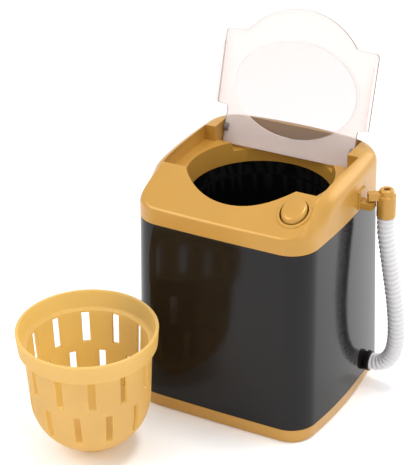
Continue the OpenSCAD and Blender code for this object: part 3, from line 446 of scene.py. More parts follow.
def plastic(
    name,
    base,
    roughness,
    grain=900.0,
    bump=0.02,
    mottle=0.05,
    coat=0.0,
    metallic=0.0,
    specular=0.5,
    rough_spread=0.06,
):
    """Moulded plastic: a faint mottle, an uneven gloss and a fine orange peel."""
    mat = bpy.data.materials.new(name)
    mat.use_nodes = True
    nodes, links = mat.node_tree.nodes, mat.node_tree.links
    shader = nodes["Principled BSDF"]
    coords = nodes.new("ShaderNodeTexCoord")

    cloud = nodes.new("ShaderNodeTexNoise")
    cloud.inputs["Scale"].default_value = 60.0
    cloud.inputs["Detail"].default_value = 4.0
    links.new(coords.outputs["Object"], cloud.inputs["Vector"])
    tint = nodes.new("ShaderNodeValToRGB")
    dark = [c * (1 - mottle) for c in base]
    light = [min(1.0, c * (1 + mottle)) for c in base]
    tint.color_ramp.elements[0].color = (*dark, 1)
    tint.color_ramp.elements[1].color = (*light, 1)
    tint.color_ramp.elements[0].position = 0.35
    tint.color_ramp.elements[1].position = 0.65
    links.new(cloud.outputs["Fac"], tint.inputs["Fac"])
    links.new(tint.outputs["Color"], shader.inputs["Base Color"])

    wipe = nodes.new("ShaderNodeTexNoise")
    wipe.inputs["Scale"].default_value = 140.0
    wipe.inputs["Detail"].default_value = 3.0
    links.new(coords.outputs["Object"], wipe.inputs["Vector"])
    gloss = nodes.new("ShaderNodeMapRange")
    gloss.inputs["To Min"].default_value = max(0.02, roughness - rough_spread)
    gloss.inputs["To Max"].default_value = roughness + rough_spread
    links.new(wipe.outputs["Fac"], gloss.inputs["Value"])
    links.new(gloss.outputs["Result"], shader.inputs["Roughness"])

    peel = nodes.new("ShaderNodeTexNoise")
    peel.inputs["Scale"].default_value = grain
    peel.inputs["Detail"].default_value = 2.0
    links.new(coords.outputs["Object"], peel.inputs["Vector"])
    relief = nodes.new("ShaderNodeBump")
    relief.inputs["Strength"].default_value = bump
    relief.inputs["Distance"].default_value = 0.1 * MM
    links.new(peel.outputs["Fac"], relief.inputs["Height"])
    links.new(relief.outputs["Normal"], shader.inputs["Normal"])

    set_input(shader, "Metallic", metallic)
    set_input(shader, "Specular IOR Level", specular)
    set_input(shader, "Coat Weight", coat)
    set_input(shader, "Coat Roughness", 0.05)
    return mat


def glowing(name, base, roughness, share=0.3):
    """Thin moulded plastic that lets some light through its wall."""
    mat = plastic(name, base, roughness, mottle=0.04)
    nodes, links = mat.node_tree.nodes, mat.node_tree.links
    through = nodes.new("ShaderNodeBsdfTranslucent")
    through.inputs["Color"].default_value = (*base, 1)
    blend = nodes.new("ShaderNodeMixShader")
    blend.inputs["Fac"].default_value = share
    links.new(nodes["Principled BSDF"].outputs["BSDF"], blend.inputs[1])
    links.new(through.outputs["BSDF"], blend.inputs[2])
    links.new(blend.outputs["Shader"], nodes["Material Output"].inputs["Surface"])
    return mat


def clear_plastic(name, tint, sheen, roughness, hazy=False):
    """Clear plastic: tinted light passes through under a gloss, or under a milky haze."""
    mat = plastic(name, tint, roughness)
    nodes, links = mat.node_tree.nodes, mat.node_tree.links
    shader = nodes["Principled BSDF"]
    through = nodes.new("ShaderNodeBsdfTransparent")
    through.inputs["Color"].default_value = (*tint, 1)
    skin = nodes.new("ShaderNodeBsdfDiffuse" if hazy else "ShaderNodeBsdfGlossy")
    skin.inputs["Color"].default_value = (*sheen, 1)
    for socket in ("Roughness", "Normal"):
        links.new(shader.inputs[socket].links[0].from_socket, skin.inputs[socket])
    both = nodes.new("ShaderNodeAddShader")
    links.new(through.outputs["BSDF"], both.inputs[0])
    links.new(skin.outputs["BSDF"], both.inputs[1])
    links.new(both.outputs["Shader"], nodes["Material Output"].inputs["Surface"])
    nodes.remove(shader)
    return mat


def metal(name, base, roughness):
    """Plated steel or brass with fine drawn marks."""
    mat = plastic(name, base, roughness, grain=2400.0, bump=0.05, metallic=1.0)
    mat.node_tree.nodes["Principled BSDF"].inputs["Metallic"].default_value = 1.0
    return mat


def make_materials(f):
    return {
        "gold": plastic("gold_satin", f.gold, 0.3, metallic=0.2, mottle=0.03),
        "basket": glowing("basket_satin", f.basket, 0.4, 0.65),
        "black": plastic(
            "black_gloss", f.black, 0.12, bump=0.006, specular=0.25, rough_spread=0.03
        ),
        "tub": plastic("tub_black", f.tub, 0.7, mottle=0.2, specular=0.05),
        "clear": clear_plastic("clear_window", f.clear, (0.06, 0.06, 0.06), 0.12),
        "frost": clear_plastic("hazy_rim", f.frost, (0.345, 0.32, 0.31), 0.3, hazy=True),
        # The lid's edge material is painted shade on the clear plastic
        "rim": plastic("lid_edge_painted_shade", f.edge, 0.4, specular=0.1),
        "white": plastic("white_hose", f.white, 0.42, mottle=0.02),
        "steel": metal("zinc_steel", (0.62, 0.62, 0.61), 0.3),
        "brass": metal("bush_brass", (0.72, 0.50, 0.20), 0.28),
        "rubber": plastic("seal_rubber", (0.03, 0.025, 0.025), 0.7, mottle=0.2),
        "natural": plastic("natural_acetal", (0.78, 0.77, 0.71), 0.42),
        "dark": plastic("dark_moulding", (0.03, 0.03, 0.034), 0.5),
        "board": plastic("phenolic_board", (0.26, 0.14, 0.06), 0.55, mottle=0.25),
        "battery": plastic("battery_sleeve", (0.03, 0.09, 0.07), 0.25, coat=0.4),
        "red": plastic("red_insulation", (0.48, 0.02, 0.02), 0.45),
        "yellow": plastic("yellow_insulation", (0.72, 0.42, 0.03), 0.45),
        "black_pvc": plastic("black_insulation", (0.02, 0.02, 0.02), 0.5),
    }


MATERIALS = {}


# ---------------------------------------------------------------------------
# Pieces
# ---------------------------------------------------------------------------
# Along the cover's sides: y, how far the crease lies in from the side, and its sharpness
SHOULDER = (
    (-44.0, 0.32, 45.0),
    (-41.0, 0.6, 48.0),
    (-38.0, 1.4, 52.0),
    (-33.0, 3.3, 53.0),
    (-28.0, 4.4, 49.0),
    (-24.0, 5.4, 36.0),
    (-18.0, 5.93, 15.0),
    (60.0, 5.93, 15.0),
)


def shoulder(y):
    """Radius and height of the side shoulder at y."""
    y = max(-43.9, y / MM)
    for (y0, in0, tip0), (y1, in1, tip1) in zip(SHOULDER, SHOULDER[1:]):
        if y <= y1:
            t = (y - y0) / (y1 - y0)
            break
    tip = math.radians(mix(tip0, tip1, t))
    radius = mix(in0, in1, t) / (1 - math.sin(tip)) * MM
    return radius, radius * math.cos(tip)


def cover_rings(s, inset=0.0, drop=0.0, z0=None):
    """Rings of the cover: the seam, then round side shoulders up to the sloping deck."""
    front_r, rear_r = 1.1 * MM, 5.0 * MM
    hx = s.top_half_w - inset
    bows = (s.corner - inset, 1.3 * MM, 0.3 * MM, 2.1 * MM)

    def rounded(r, d, rise):
        if d >= rise:
            return 0.0
        up = rise - d
        return r - math.sqrt(max(0.0, r * r - up * up))

    rings = [[(x, y, SEAM if z0 is None else z0) for x, y, _ in shell_ring(s, SEAM, inset)]]
    rear_side, rear_h = shoulder(s.top_half_d)
    for part in (1.0, 0.85, 0.7, 0.56, 0.43, 0.32, 0.23, 0.15, 0.09, 0.045, 0.015, 0.0):
        hf = s.top_half_d - inset - rounded(front_r, part * front_r, front_r)
        hb = s.top_half_d - inset - rounded(rear_r, part * rear_h, rear_r)
        side = rounded(rear_side, part * rear_h, rear_h)
        ring = []
        front_half = body_outline(hx, hf, hb, *bows)
        rear_half = body_outline(hx - side, hf, hb, *bows)
        for (x, y), (x1, y1) in zip(front_half, rear_half):
            radius, height = shoulder(y)
            if y < 0:
                x *= 1 - rounded(radius, part * height, height) / hx
            else:
                x, y = x1, y1
            ring.append((x, y, deck(s, y) - part * height - drop))
        rings.append(ring)
    return rings


def slice_deck(bm, s, step=2.0 * MM):
    """Cuts the deck's single face into strips, so that it follows the deck's curve."""
    y = -s.top_half_d + 0.75 * step
    while y < s.top_half_d:
        tops = [f for f in bm.faces if f.normal.z > 0.5]
        faces = [f for f in tops if len(f.verts) > 60 or f.calc_area() > 6e-5]
        geom = set(faces)
        for f in faces:
            geom.update(f.edges)
            geom.update(f.verts)
        bmesh.ops.bisect_plane(
            bm, geom=list(geom), plane_co=(0, y, 0), plane_no=(0, 1, 0), dist=1e-6
        )
        y += step
    bmesh.ops.triangulate(bm, faces=[f for f in bm.faces if len(f.verts) > 4])


class TOYWASH_OT_cover(bpy.types.Operator):
    """Make the gold top cover with its recess, mouth, ears and side lug"""

    bl_idname = "toywash.cover"
    bl_label = "Top Cover"

    def execute(self, context):
        s = context.scene.toywash_body
        edge = -19.9 * MM
        top = 0.16
        rail = 39.2 * MM
        ear = 33.8 * MM
        ear_front = HINGE.y - 9 * MM
        trough_front = HINGE.y - 7.2 * MM
        trough_back = HINGE.y + 8.2 * MM
        trough_z = HINGE.z - 8.4 * MM
        well_r = 6.4 * MM
        well_z = deck(s, BUTTON.y - well_r) - 3.2 * MM
        cup_r = well_r + 1.2 * MM
        bore_x = 38.4 * MM

        def cover_form(rise=0.0):
            def form(bm):
                loft(bm, cover_rings(s, drop=-rise))
                slice_deck(bm, s)

            return form

        cover = build("top_cover_skin", cover_form())

        # Underside: the same form, smaller, kept clear of floors, walls and cup
        def under_form(bm):
            loft(bm, cover_rings(s, s.wall, s.wall, SEAM - 2 * MM))
            slice_deck(bm, s)

        hollow = build("hollow", under_form)
        floors = build(
            "floors",
            lambda bm: box_mesh(bm, (-0.06, edge - 2 * MM, RECESS_Z - 2 * MM), (0.06, 0.06, top)),
        )
        trough_keep = build(
            "trough_keep",
            lambda bm: box_mesh(
                bm,
                (-0.06, trough_front - 1.6 * MM, trough_z - 2 * MM),
                (0.06, 0.06, top),
            ),
        )
        ring_keep = build(
            "ring_keep",
            lambda bm: rod_mesh(bm, (0, 0, TUB_TOP), (0, 0, top), s.mouth + 1.4 * MM, 128),
        )
        cup_keep = build(
            "cup_keep",
            lambda bm: rod_mesh(
                bm, BUTTON + Vector((0, 0, well_z - 1.2 * MM)), BUTTON + Vector((0, 0, top)), cup_r
            ),
        )
        carve(hollow, floors, trough_keep, ring_keep, cup_keep)
        carve(cover, hollow)

        # Thin lip round the button's well, along the slope of the panel
        lip = build("lip", cover_form(0.5 * MM))
        collar = build(
            "collar",
            lambda bm: rod_mesh(
                bm, BUTTON + Vector((0, 0, well_z)), BUTTON + Vector((0, 0, top)), cup_r, 96
            ),
        )
        carve(lip, collar, operation="INTERSECT")
        carve(cover, lip, operation="UNION")

        # Mouth: a cone up to the recess floor, then straight up through the panel
        def mouth_profile(bm):
            profile = [
                (0, TUB_TOP - 5 * MM),
                (s.mouth - 1.2 * MM, TUB_TOP - 5 * MM),
                (s.mouth - 1.2 * MM, TUB_TOP),
                (s.mouth, RECESS_Z),
                (s.mouth, top),
                (0, top),
            ]
            revolve(bm, profile, 160)

        carve(cover, build("mouth", mouth_profile))

        # Recess floor, and the trough behind it
        recess = build(
            "recess",
            lambda bm: box_mesh(bm, (-rail, edge, RECESS_Z), (rail, ear_front, top)),
        )
        between = build(
            "between",
            lambda bm: box_mesh(
                bm, (-ear, ear_front - 1 * MM, RECESS_Z), (ear, trough_front, top)
            ),
        )
        trough = build(
            "trough",
            lambda bm: box_mesh(
                bm, (-ear, trough_front - 0.01 * MM, trough_z), (ear, trough_back, top)
            ),
        )
        carve(cover, recess, between, trough)

        # Button well with its stem hole, and the hinge bores
        well = build(
            "well",
            lambda bm: rod_mesh(
                bm, BUTTON + Vector((0, 0, well_z)), BUTTON + Vector((0, 0, top)), well_r, 96
            ),
        )
        stem = build(
            "stem",
            lambda bm: rod_mesh(
                bm, BUTTON + Vector((0, 0, 0.09)), BUTTON + Vector((0, 0, top)), 2.4 * MM
            ),
        )
        bores = build(
            "bores",
            lambda bm: rod_mesh(
                bm, HINGE - Vector((bore_x, 0, 0)), HINGE + Vector((bore_x, 0, 0)), 1.08 * MM
            ),
        )
        carve(cover, well, stem, bores)

        # Side lug: an upright pad and the finger that the cap's arm rests on
        lug_x = 0.0435
        pad = build(
            "pad", lambda bm: box_mesh(bm, (lug_x, 0.0076, 0.0975), (0.0455, 0.015, 0.1062))
        )
        finger = build(
            "finger", lambda bm: box_mesh(bm, (lug_x, 0.0086, 0.0977), (0.051, 0.0144, 0.1007))
        )
        carve(cover, pad, finger, operation="UNION")

        tidy_mesh(cover)
        soften(cover, 0.5 * MM, angle=26.0)
        finish_piece(cover, MATERIALS["gold"], "machine", "gold_plastic", "top_cover")
        return {"FINISHED"}


class TOYWASH_OT_shell(bpy.types.Operator):
    """Make the glossy black housing"""

    bl_idname = "toywash.shell"
    bl_label = "Housing"

    def execute(self, context):
        s = context.scene.toywash_body
        lip = 0.25 * MM

        def form(bm):
            steps = 12
            outer = [
                shell_ring(s, mix(BASE_TOP + lip, SEAM - lip, i / steps)) for i in range(steps + 1)
            ]
            inner = [shell_ring(s, SEAM, s.wall), shell_ring(s, BASE_TOP, s.wall)]
            rings = [shell_ring(s, BASE_TOP, lip)] + outer + [shell_ring(s, SEAM, lip)] + inner
            first, last = loft(bm, rings, caps=(False, False))
            join_ends(bm, first, last)

        shell = build("housing_skin", form)
        hole = build(
            "hole",
            lambda bm: rod_mesh(
                bm, NOZZLE + Vector((0.03, 0, 0)), NOZZLE + Vector((0.06, 0, 0)), 4.1 * MM
            ),
        )
        carve(shell, hole)
        smooth(shell, 40.0)
        finish_piece(shell, MATERIALS["black"], "machine", "black_plastic", "outer_shell")
        return {"FINISHED"}


class TOYWASH_OT_lid(bpy.types.Operator):
    """Make the clear lid with its oval window, flanges, tail and pins"""

    bl_idname = "toywash.lid"
    bl_label = "Lid"

    def execute(self, context):
        s = context.scene.toywash_lid
        half_t = s.thick / 2
        tail_hw = 33.3 * MM
        step_v = 10.1 * MM
        round_r, round_v, round_hw = 34.7 * MM, 25.9 * MM, 27.6 * MM
        a0 = math.acos(round_hw / round_r)
        corner = 2 * MM

        def half_outline():
            points = [(tail_hw - 0.6 * MM, -s.tail), (tail_hw, -s.tail + 0.6 * MM)]
            points += [(tail_hw, step_v - 1 * MM)]
            points += [(tail_hw + 0.4 * MM, step_v), (s.half_w - 0.4 * MM, step_v + 0.6 * MM)]
            points += [(s.half_w, step_v + 1 * MM)]
            points += round_corner((s.half_w - corner, s.reach - corner), corner, 0, 80, 6)
            return points

        right = half_outline()
        top = [
            (round_r * math.cos(a), round_v + round_r * math.sin(a))
            for a in [mix(a0, math.pi - a0, i / 56) for i in range(57)]
        ]
        outline = right + top + [(-x, y) for x, y in reversed(right)]
        plate = build("lid_skin", lambda bm: prism_mesh(bm, outline, -half_t, half_t))

        # Oval window, raised on the upper face and hollow below
        def dome(bm, grow, z0, z1):
            out = bmesh.ops.create_circle(bm, segments=96, radius=1.0)
            verts = out["verts"]
            bmesh.ops.scale(bm, vec=(31.4 * MM + grow, 23.1 * MM + grow, 1), verts=verts)
            bmesh.ops.translate(bm, vec=(0, 23.2 * MM, z0), verts=verts)
            face = bmesh.ops.contextual_create(bm, geom=[e for e in bm.edges])["faces"]
            lift = bmesh.ops.extrude_face_region(bm, geom=face)
            ring = [g for g in lift["geom"] if isinstance(g, bmesh.types.BMVert)]
            bmesh.ops.translate(bm, vec=(0, 0, z1 - z0), verts=ring)
            bmesh.ops.recalc_face_normals(bm, faces=bm.faces)

        rise = 0.7 * MM
        raised = build("raised", lambda bm: dome(bm, 0.0, -half_t * 0.2, half_t + rise))
        pocket = build("pocket", lambda bm: dome(bm, -0.5 * MM, -half_t - 1 * MM, -half_t + rise))
        carve(plate, raised, operation="UNION")
        carve(plate, pocket)

        # Side flanges with slanted ends, knuckles and pins
        drop = 3.8 * MM
        for side in (-1, 1):
            x0 = side * (s.half_w - s.thick)
            x1 = side * s.half_w

            def flange(bm, x0=min(x0, x1), x1=max(x0, x1)):
                profile = [
                    (step_v + 1 * MM, 0.0),
                    (s.reach - 2.4 * MM, 0.0),
                    (s.reach - 6 * MM, -drop),
                    (step_v + 1.6 * MM, -drop),
                ]
                verts = [bm.verts.new((x0, v, z)) for v, z in profile]
                face = bm.faces.new(verts)
                out = bmesh.ops.extrude_face_region(bm, geom=[face])
                far = [g for g in out["geom"] if isinstance(g, bmesh.types.BMVert)]
                bmesh.ops.translate(bm, vec=(x1 - x0, 0, 0), verts=far)
                bmesh.ops.recalc_face_normals(bm, faces=bm.faces)

            def knuckle(bm, side=side):
                rod_mesh(bm, (side * 31.4 * MM, 0, 0), (side * 33.3 * MM, 0, 0), 2.0 * MM, 32)

            def pin(bm, side=side):
                rod_mesh(bm, (side * 31.8 * MM, 0, 0), (side * 37.2 * MM, 0, 0), 1.0 * MM, 32)

            carve(
                plate,
                build("flange", flange),
                build("knuckle", knuckle),
                build("pin", pin),
                operation="UNION",
            )
        tidy_mesh(plate)
        soften(plate, 0.2 * MM, segments=2)

        # The oval is clear and the rim round it is hazy. The cut edges, the oval's step on one
        # side only, and the hinge knuckles and pins get the dark edge colour as painted shade
        plate.data.materials.clear()
        turn = (
            Matrix.Translation(HINGE)
            @ Matrix.Rotation(-s.open_angle, 4, "X")
            @ Matrix.Rotation(math.pi, 4, "Z")
        )
        finish_piece(plate, MATERIALS["frost"], "lid", "clear_plastic", "lid")
        plate.data.materials.append(MATERIALS["clear"])
        plate.data.materials.append(MATERIALS["rim"])
        for polygon in plate.data.polygons:
            c = polygon.center
            inside = (c.x / (31.2 * MM)) ** 2 + ((c.y - 23.2 * MM) / (22.9 * MM)) ** 2
            facing = polygon.normal.z
            window = (facing > 0.5 and c.z > half_t + rise / 2) or (
                facing < -0.5 and c.z > -half_t + rise / 2
            )
            # Painted shade: the outer cut edges, and the walls of the oval's step on the side with
            # x below zero
            upright = abs(facing) < 0.5 and abs(c.z) < 1.5 * MM and (inside > 1.2 or c.x < 0)
            # Painted shade: the hinge knuckles and pins
            painted_shade_hinge = abs(c.x) > 31.4 * MM and abs(c.y) < 2.1 * MM
            polygon.material_index = 2 if upright or painted_shade_hinge else 1 if window else 0
        plate.data.transform(turn)
        return {"FINISHED"}


class TOYWASH_OT_basket(bpy.types.Operator):
    """Make the loose basket with its two rows of slots"""

    bl_idname = "toywash.basket"
    bl_label = "Basket"

    def execute(self, context):
        s = context.scene.toywash_basket
        ring, ring_h = 8.2 * MM, 2.2 * MM
        standing_x, standing_y = -43.2 * MM, -83.5 * MM
        lean, compass = math.radians(1.7), math.radians(-58.0)
        foot = s.belly - s.bowl
        bowl_z = s.bowl + ring_h
        neck_z = s.height - s.collar

        def bowl(r, z0, n=20):
            angles = [math.pi / 2 * i / n for i in range(n + 1)]
            return [(max(0.0, foot + r * math.sin(a)), z0 - r * math.cos(a)) for a in angles]

        def side(inset):
            quarters = (1 / 4, 2 / 4, 3 / 4)
            return [(mix(s.belly, s.neck, t) - inset, mix(bowl_z, neck_z, t)) for t in quarters]

        def form(bm):
            lip, soft = 0.5 * MM, 0.4 * MM
            outer = [(0.0, ring_h), (ring - 1.2 * MM, ring_h), (ring - 1.1 * MM, 0.2 * MM)]
            outer += [(ring - 0.9 * MM, 0.0), (ring - 0.3 * MM, 0.0), (ring, 0.3 * MM)]
            outer += [p for p in bowl(s.bowl, bowl_z) if p[0] > ring]
            outer += side(0.0)
            outer += [(s.neck - 0.1 * MM, neck_z - 0.5 * MM)]
            outer += round_corner((s.neck + 1.3 * MM, neck_z - 0.1 * MM), 1.2 * MM, 180, 110, 5)
            outer += round_corner((s.rim - 1.9 * MM, neck_z + 2.2 * MM), 1.2 * MM, -70, 0, 5)
            outer += round_corner((s.rim - lip, s.height - lip), lip, 0, 90, 4)
            rim, neck = s.rim - s.wall + 0.1 * MM, s.neck - s.wall
            outer += round_corner((rim + soft, s.height - soft), soft, 90, 180, 3)
            outer += round_corner((rim - 1.3 * MM, neck_z + 2.6 * MM), soft, 0, -80, 3)
            outer += round_corner((neck + soft, neck_z + 1.6 * MM), soft, 110, 180, 3)
            inner = bowl(s.bowl - s.wall, bowl_z)
            inner += side(s.wall)
            profile = outer + list(reversed(inner)) + [(0.0, ring_h + s.wall)]
            revolve(bm, profile, 144, (0, 0, 0))

        basket = build("basket_skin", form)

        def slots(bm):
            rows = (
                (neck_z - 14.8 * MM, neck_z + 0.9 * MM, 4.5, 3.4 * MM),
                (neck_z - 34.6 * MM, neck_z - 19.1 * MM, 19.5, 3.2 * MM),
            )
            for z0, z1, first, width in rows:
                for k in range(s.slots):
                    verts = box_mesh(bm, (14 * MM, -width / 2, z0), (34 * MM, width / 2, z1))
                    angle = math.radians(first + 360 * k / s.slots)
                    bmesh.ops.rotate(bm, matrix=Matrix.Rotation(angle, 3, "Z"), verts=verts)

        carve(basket, build("slots", slots))
        tidy_mesh(basket)
        soften(basket, 0.18 * MM, angle=50.0, segments=2)
        axis = (-math.sin(compass), math.cos(compass), 0)
        spot = Vector((standing_x, standing_y, ring * math.sin(lean)))
        basket.data.transform(Matrix.Translation(spot) @ Matrix.Rotation(lean, 4, axis))
        finish_piece(basket, MATERIALS["basket"], "basket", "basket_plastic", "basket")
        return {"FINISHED"}


# Bends of the hose: how far it stands off the shell's side, its y, and its share of the rise
HOSE_BENDS = (
    (2.3, 18.6, 0.0),
    (8.9, 18.4, 0.027),
    (13.15, 18.2, 0.102),
    (14.7, 18.0, 0.194),
    (15.1, 17.7, 0.286),
    (14.95, 17.4, 0.376),
    (14.4, 17.2, 0.465),
    (13.6, 17.0, 0.555),
    (12.7, 16.8, 0.644),
    (11.8, 16.6, 0.733),
    (10.95, 16.5, 0.821),
    (10.05, 16.5, 0.91),
    (10.0, 16.5, 1.0),
)


def spline(a, b, c, d, t):
    return 0.5 * (
        2 * b
        + (c - a) * t
        + (2 * a - 5 * b + 4 * c - d) * t * t
        + (3 * b - a - 3 * c + d) * t * t * t
    )


def hose_path(s, per_bend=60):
    """Points along the hose, close together, from the nozzle up to the cap."""
    top = SEAM - 3.8 * MM
    knots = [
        Vector((mix(s.foot_half_w, s.top_half_w, t) + dx * MM, y * MM, mix(NOZZLE.z, top, t)))
        for dx, y, t in HOSE_BENDS
    ]
    before = Vector((2 * knots[0].x - knots[1].x, knots[1].y, knots[1].z))
    after = 2 * knots[-1] - knots[-2]
    knots = [before, *knots, after]
    points = []
    for i in range(1, len(knots) - 2):
        points += [spline(*knots[i - 1 : i + 3], k / per_bend) for k in range(per_bend)]
    return points + [knots[-2]]


def resample(points, step):
    """Points at equal distances along a path, with the last one kept."""
    total = sum((b - a).length for a, b in zip(points, points[1:]))
    count = max(2, round(total / step))
    out, walked, target = [points[0]], 0.0, total / count
    for a, b in zip(points, points[1:]):
        gap = (b - a).length
        while len(out) < count and walked + gap >= target * len(out):
            out.append(a.lerp(b, (target * len(out) - walked) / gap))
        walked += gap
    return out + [points[-1]]


class TOYWASH_OT_hose(bpy.types.Operator):
    """Make the ribbed drain hose"""

    bl_idname = "toywash.hose"
    bl_label = "Drain Hose"

    def execute(self, context):
        s = context.scene.toywash_hose
        points_per_rib = 8
        path = resample(hose_path(context.scene.toywash_body), s.pitch / points_per_rib)
        segments = 40

        def ring(i, radius):
            tangent = (path[min(i + 1, len(path) - 1)] - path[max(i - 1, 0)]).normalized()
            u = tangent.cross(Vector((0, 1, 0))).normalized()
            v = tangent.cross(u)
            angles = [math.tau * k / segments for k in range(segments)]
            return [path[i] + radius * (math.cos(a) * u + math.sin(a) * v) for a in angles]

        def crest(i):
            wave = 0.5 + 0.5 * math.cos(math.tau * i / points_per_rib)
            return s.crest - s.groove * (1 - wave) ** 1.4

        def form(bm):
            outer = [ring(i, crest(i)) for i in range(len(path))]
            inner = [ring(i, s.bore) for i in reversed(range(0, len(path), 6))]
            if (len(path) - 1) % 6:
                inner = [ring(len(path) - 1, s.bore)] + inner
            first, last = loft(bm, outer + inner, caps=(False, False))
            join_ends(bm, first, last)

        hose = build("drain_hose_skin", form)
        smooth(hose, 60.0)
        finish_piece(hose, MATERIALS["white"], "machine", "hose_white", "drain_hose")
        return {"FINISHED"}


class TOYWASH_OT_cap(bpy.types.Operator):
    """Make the hose cap with its stepped dome and arm"""

    bl_idname = "toywash.cap"
    bl_label = "Hose Cap"

    def execute(self, context):
        z0 = SEAM - 3.7 * MM
        z1 = z0 + 10.8 * MM
        r = 4.4 * MM

        def form(bm):
            profile = [(1.5 * MM, z0 - 3 * MM), (2.6 * MM, z0 - 3 * MM), (2.6 * MM, z0)]
            profile += [(r - 0.35 * MM, z0)]
            profile += round_corner((r - 0.3 * MM, z0 + 0.3 * MM), 0.3 * MM, -90, 0, 3)
            profile += round_corner((r - 0.4 * MM, z1 - 0.4 * MM), 0.4 * MM, 0, 90, 4)
            profile += [(r - 0.8 * MM, z1 + 0.1 * MM), (r - 0.9 * MM, z1 + 1.3 * MM)]
            profile += round_corner((r - 2.2 * MM, z1 + 1.7 * MM), 1.3 * MM, 10, 80, 6)
            profile += [(1.9 * MM, z1 + 3.0 * MM), (1.5 * MM, z1 + 2.7 * MM)]
            profile += [(1.5 * MM, z0 - 3 * MM)]
            revolve(bm, profile, 72, CAP_AXIS)

        cap = build("hose_cap_skin", form)
        arm_z = SEAM + 5.1 * MM
        target = Vector((48 * MM, 11.6 * MM, 0))
        along = target - CAP_AXIS
        angle = math.atan2(along.y, along.x)

        def arm(bm):
            half_w, high = 1.9 * MM, 3.4 * MM
            verts = box_mesh(
                bm, (2.4 * MM, -half_w, arm_z), (along.length, half_w, arm_z + high)
            )
            bmesh.ops.rotate(bm, matrix=Matrix.Rotation(angle, 3, "Z"), verts=verts)
            bmesh.ops.translate(bm, vec=CAP_AXIS, verts=verts)

        carve(cap, build("arm", arm), operation="UNION")
        tidy_mesh(cap)
        soften(cap, 0.25 * MM, angle=50.0)
        finish_piece(cap, MATERIALS["gold"], "machine", "gold_plastic", "hose_cap")
        return {"FINISHED"}


class TOYWASH_OT_button(bpy.types.Operator):
    """Make the round push button with its stem"""

    bl_idname = "toywash.button"
    bl_label = "Push Button"

    def execute(self, context):
        s = context.scene.toywash_body
        stem_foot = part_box("push_button")[0].z
        r = 5.7 * MM
        top = deck(s, BUTTON.y) + 2.5 * MM
        slope = (deck(s, BUTTON.y + MM) - deck(s, BUTTON.y - MM)) / (2 * MM)
        cap_z = deck(s, BUTTON.y - 6.4 * MM) - 1.0 * MM
        collar = cap_z - 5.2 * MM

        def form(bm):
            profile = [(0.0, stem_foot), (1.5 * MM, stem_foot), (1.5 * MM, collar - 1.2 * MM)]
            profile += [(3.2 * MM, collar - 1.2 * MM), (3.2 * MM, collar), (2.2 * MM, collar)]
            profile += [(2.2 * MM, cap_z), (r - 0.3 * MM, cap_z), (r, cap_z + 0.3 * MM)]
            profile += round_corner((r - 1.5 * MM, top - 1.7 * MM), 1.5 * MM, 0, 80, 12)
            profile += [(2.0 * MM, top - 0.08 * MM), (0.0, top)]
            revolve(bm, profile, 96, (BUTTON.x, BUTTON.y, 0))
            # The top leans with the panel
            for v in bm.verts:
                if v.co.z > cap_z + 1 * MM:
                    v.co.z += slope * (v.co.y - BUTTON.y)

        button = build("push_button_skin", form)
        smooth(button, 50.0)
        finish_piece(button, MATERIALS["gold"], "button", "gold_plastic", "push_button")
        return {"FINISHED"}


class TOYWASH_OT_tub(bpy.types.Operator):
    """Smooth the tub, the pulsator, the base, the nozzle and the other moulded parts"""

    bl_idname = "toywash.moulded"
    bl_label = "Moulded Parts"

    def execute(self, context):
        parts = (
            ("tub", "tub", "machine", "tub_plastic", 0.2),
            ("pulsator", "tub", "agitator", "tub_plastic", 0.3),
            ("base", "gold", "machine", "gold_plastic", 0.2),
            ("drain_nozzle", "black", "machine", "black_plastic", 0.3),
            ("battery_door", "gold", "door", "gold_plastic", 0.2),
        )
        for node, material, body, slot, edge in parts:
            piece = copy_node(node)
            soften(piece, edge * MM, angle=40.0, segments=2)
            finish_piece(piece, MATERIALS[material], body, slot, node)
        return {"FINISHED"}


def copy_node(node):
    """A merged copy of a CAD node's mesh, ready for bevels."""
    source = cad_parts[node]
    obj = bpy.data.objects.new(node + "_skin", source.data.copy())
    bpy.context.scene.collection.objects.link(obj)
    bm = bmesh.new()
    bm.from_mesh(obj.data)
    bmesh.ops.remove_doubles(bm, verts=bm.verts, dist=1e-6)
    bmesh.ops.dissolve_limit(
        bm,
        angle_limit=math.radians(0.4),
        verts=bm.verts,
        edges=bm.edges,
    )
    bm.to_mesh(obj.data)
    bm.free()
    return obj


NODE_FINISHES = {
    "steel": (
        "tub_screws",
        "base_screws",
        "bracket_screws",
        "board_screws",
        "door_screw",
        "pulsator_shaft",
        "motor_shaft",
        "motor_can",
        "button_spring",
        "contact_bridge",
        "contact_tabs",
        "contact_springs",
    ),
    "brass": ("shaft_bush",),
    "rubber": ("shaft_seal",),
    "natural": ("drive_gear", "motor_pinion", "motor_end_cap", "switch_plunger"),
    "dark": ("motor_bracket", "switch_body"),
    "board": ("switch_board",),
    "battery": ("battery_front", "battery_rear"),
    "white": ("drain_tube",),
    "red": ("lead_red",),
    "yellow": ("lead_yellow",),
    "black_pvc": ("lead_black",),
}


class TOYWASH_OT_inner(bpy.types.Operator):
    """Give the drive, the batteries, the switch and the screws their finishes"""

    bl_idname = "toywash.inner"
    bl_label = "Inner Parts"

    def execute(self, context):
        for material, nodes in NODE_FINISHES.items():
            for node in nodes:
                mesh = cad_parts[node].data
                mesh.materials.clear()
                mesh.materials.append(MATERIALS[material])
        return {"FINISHED"}


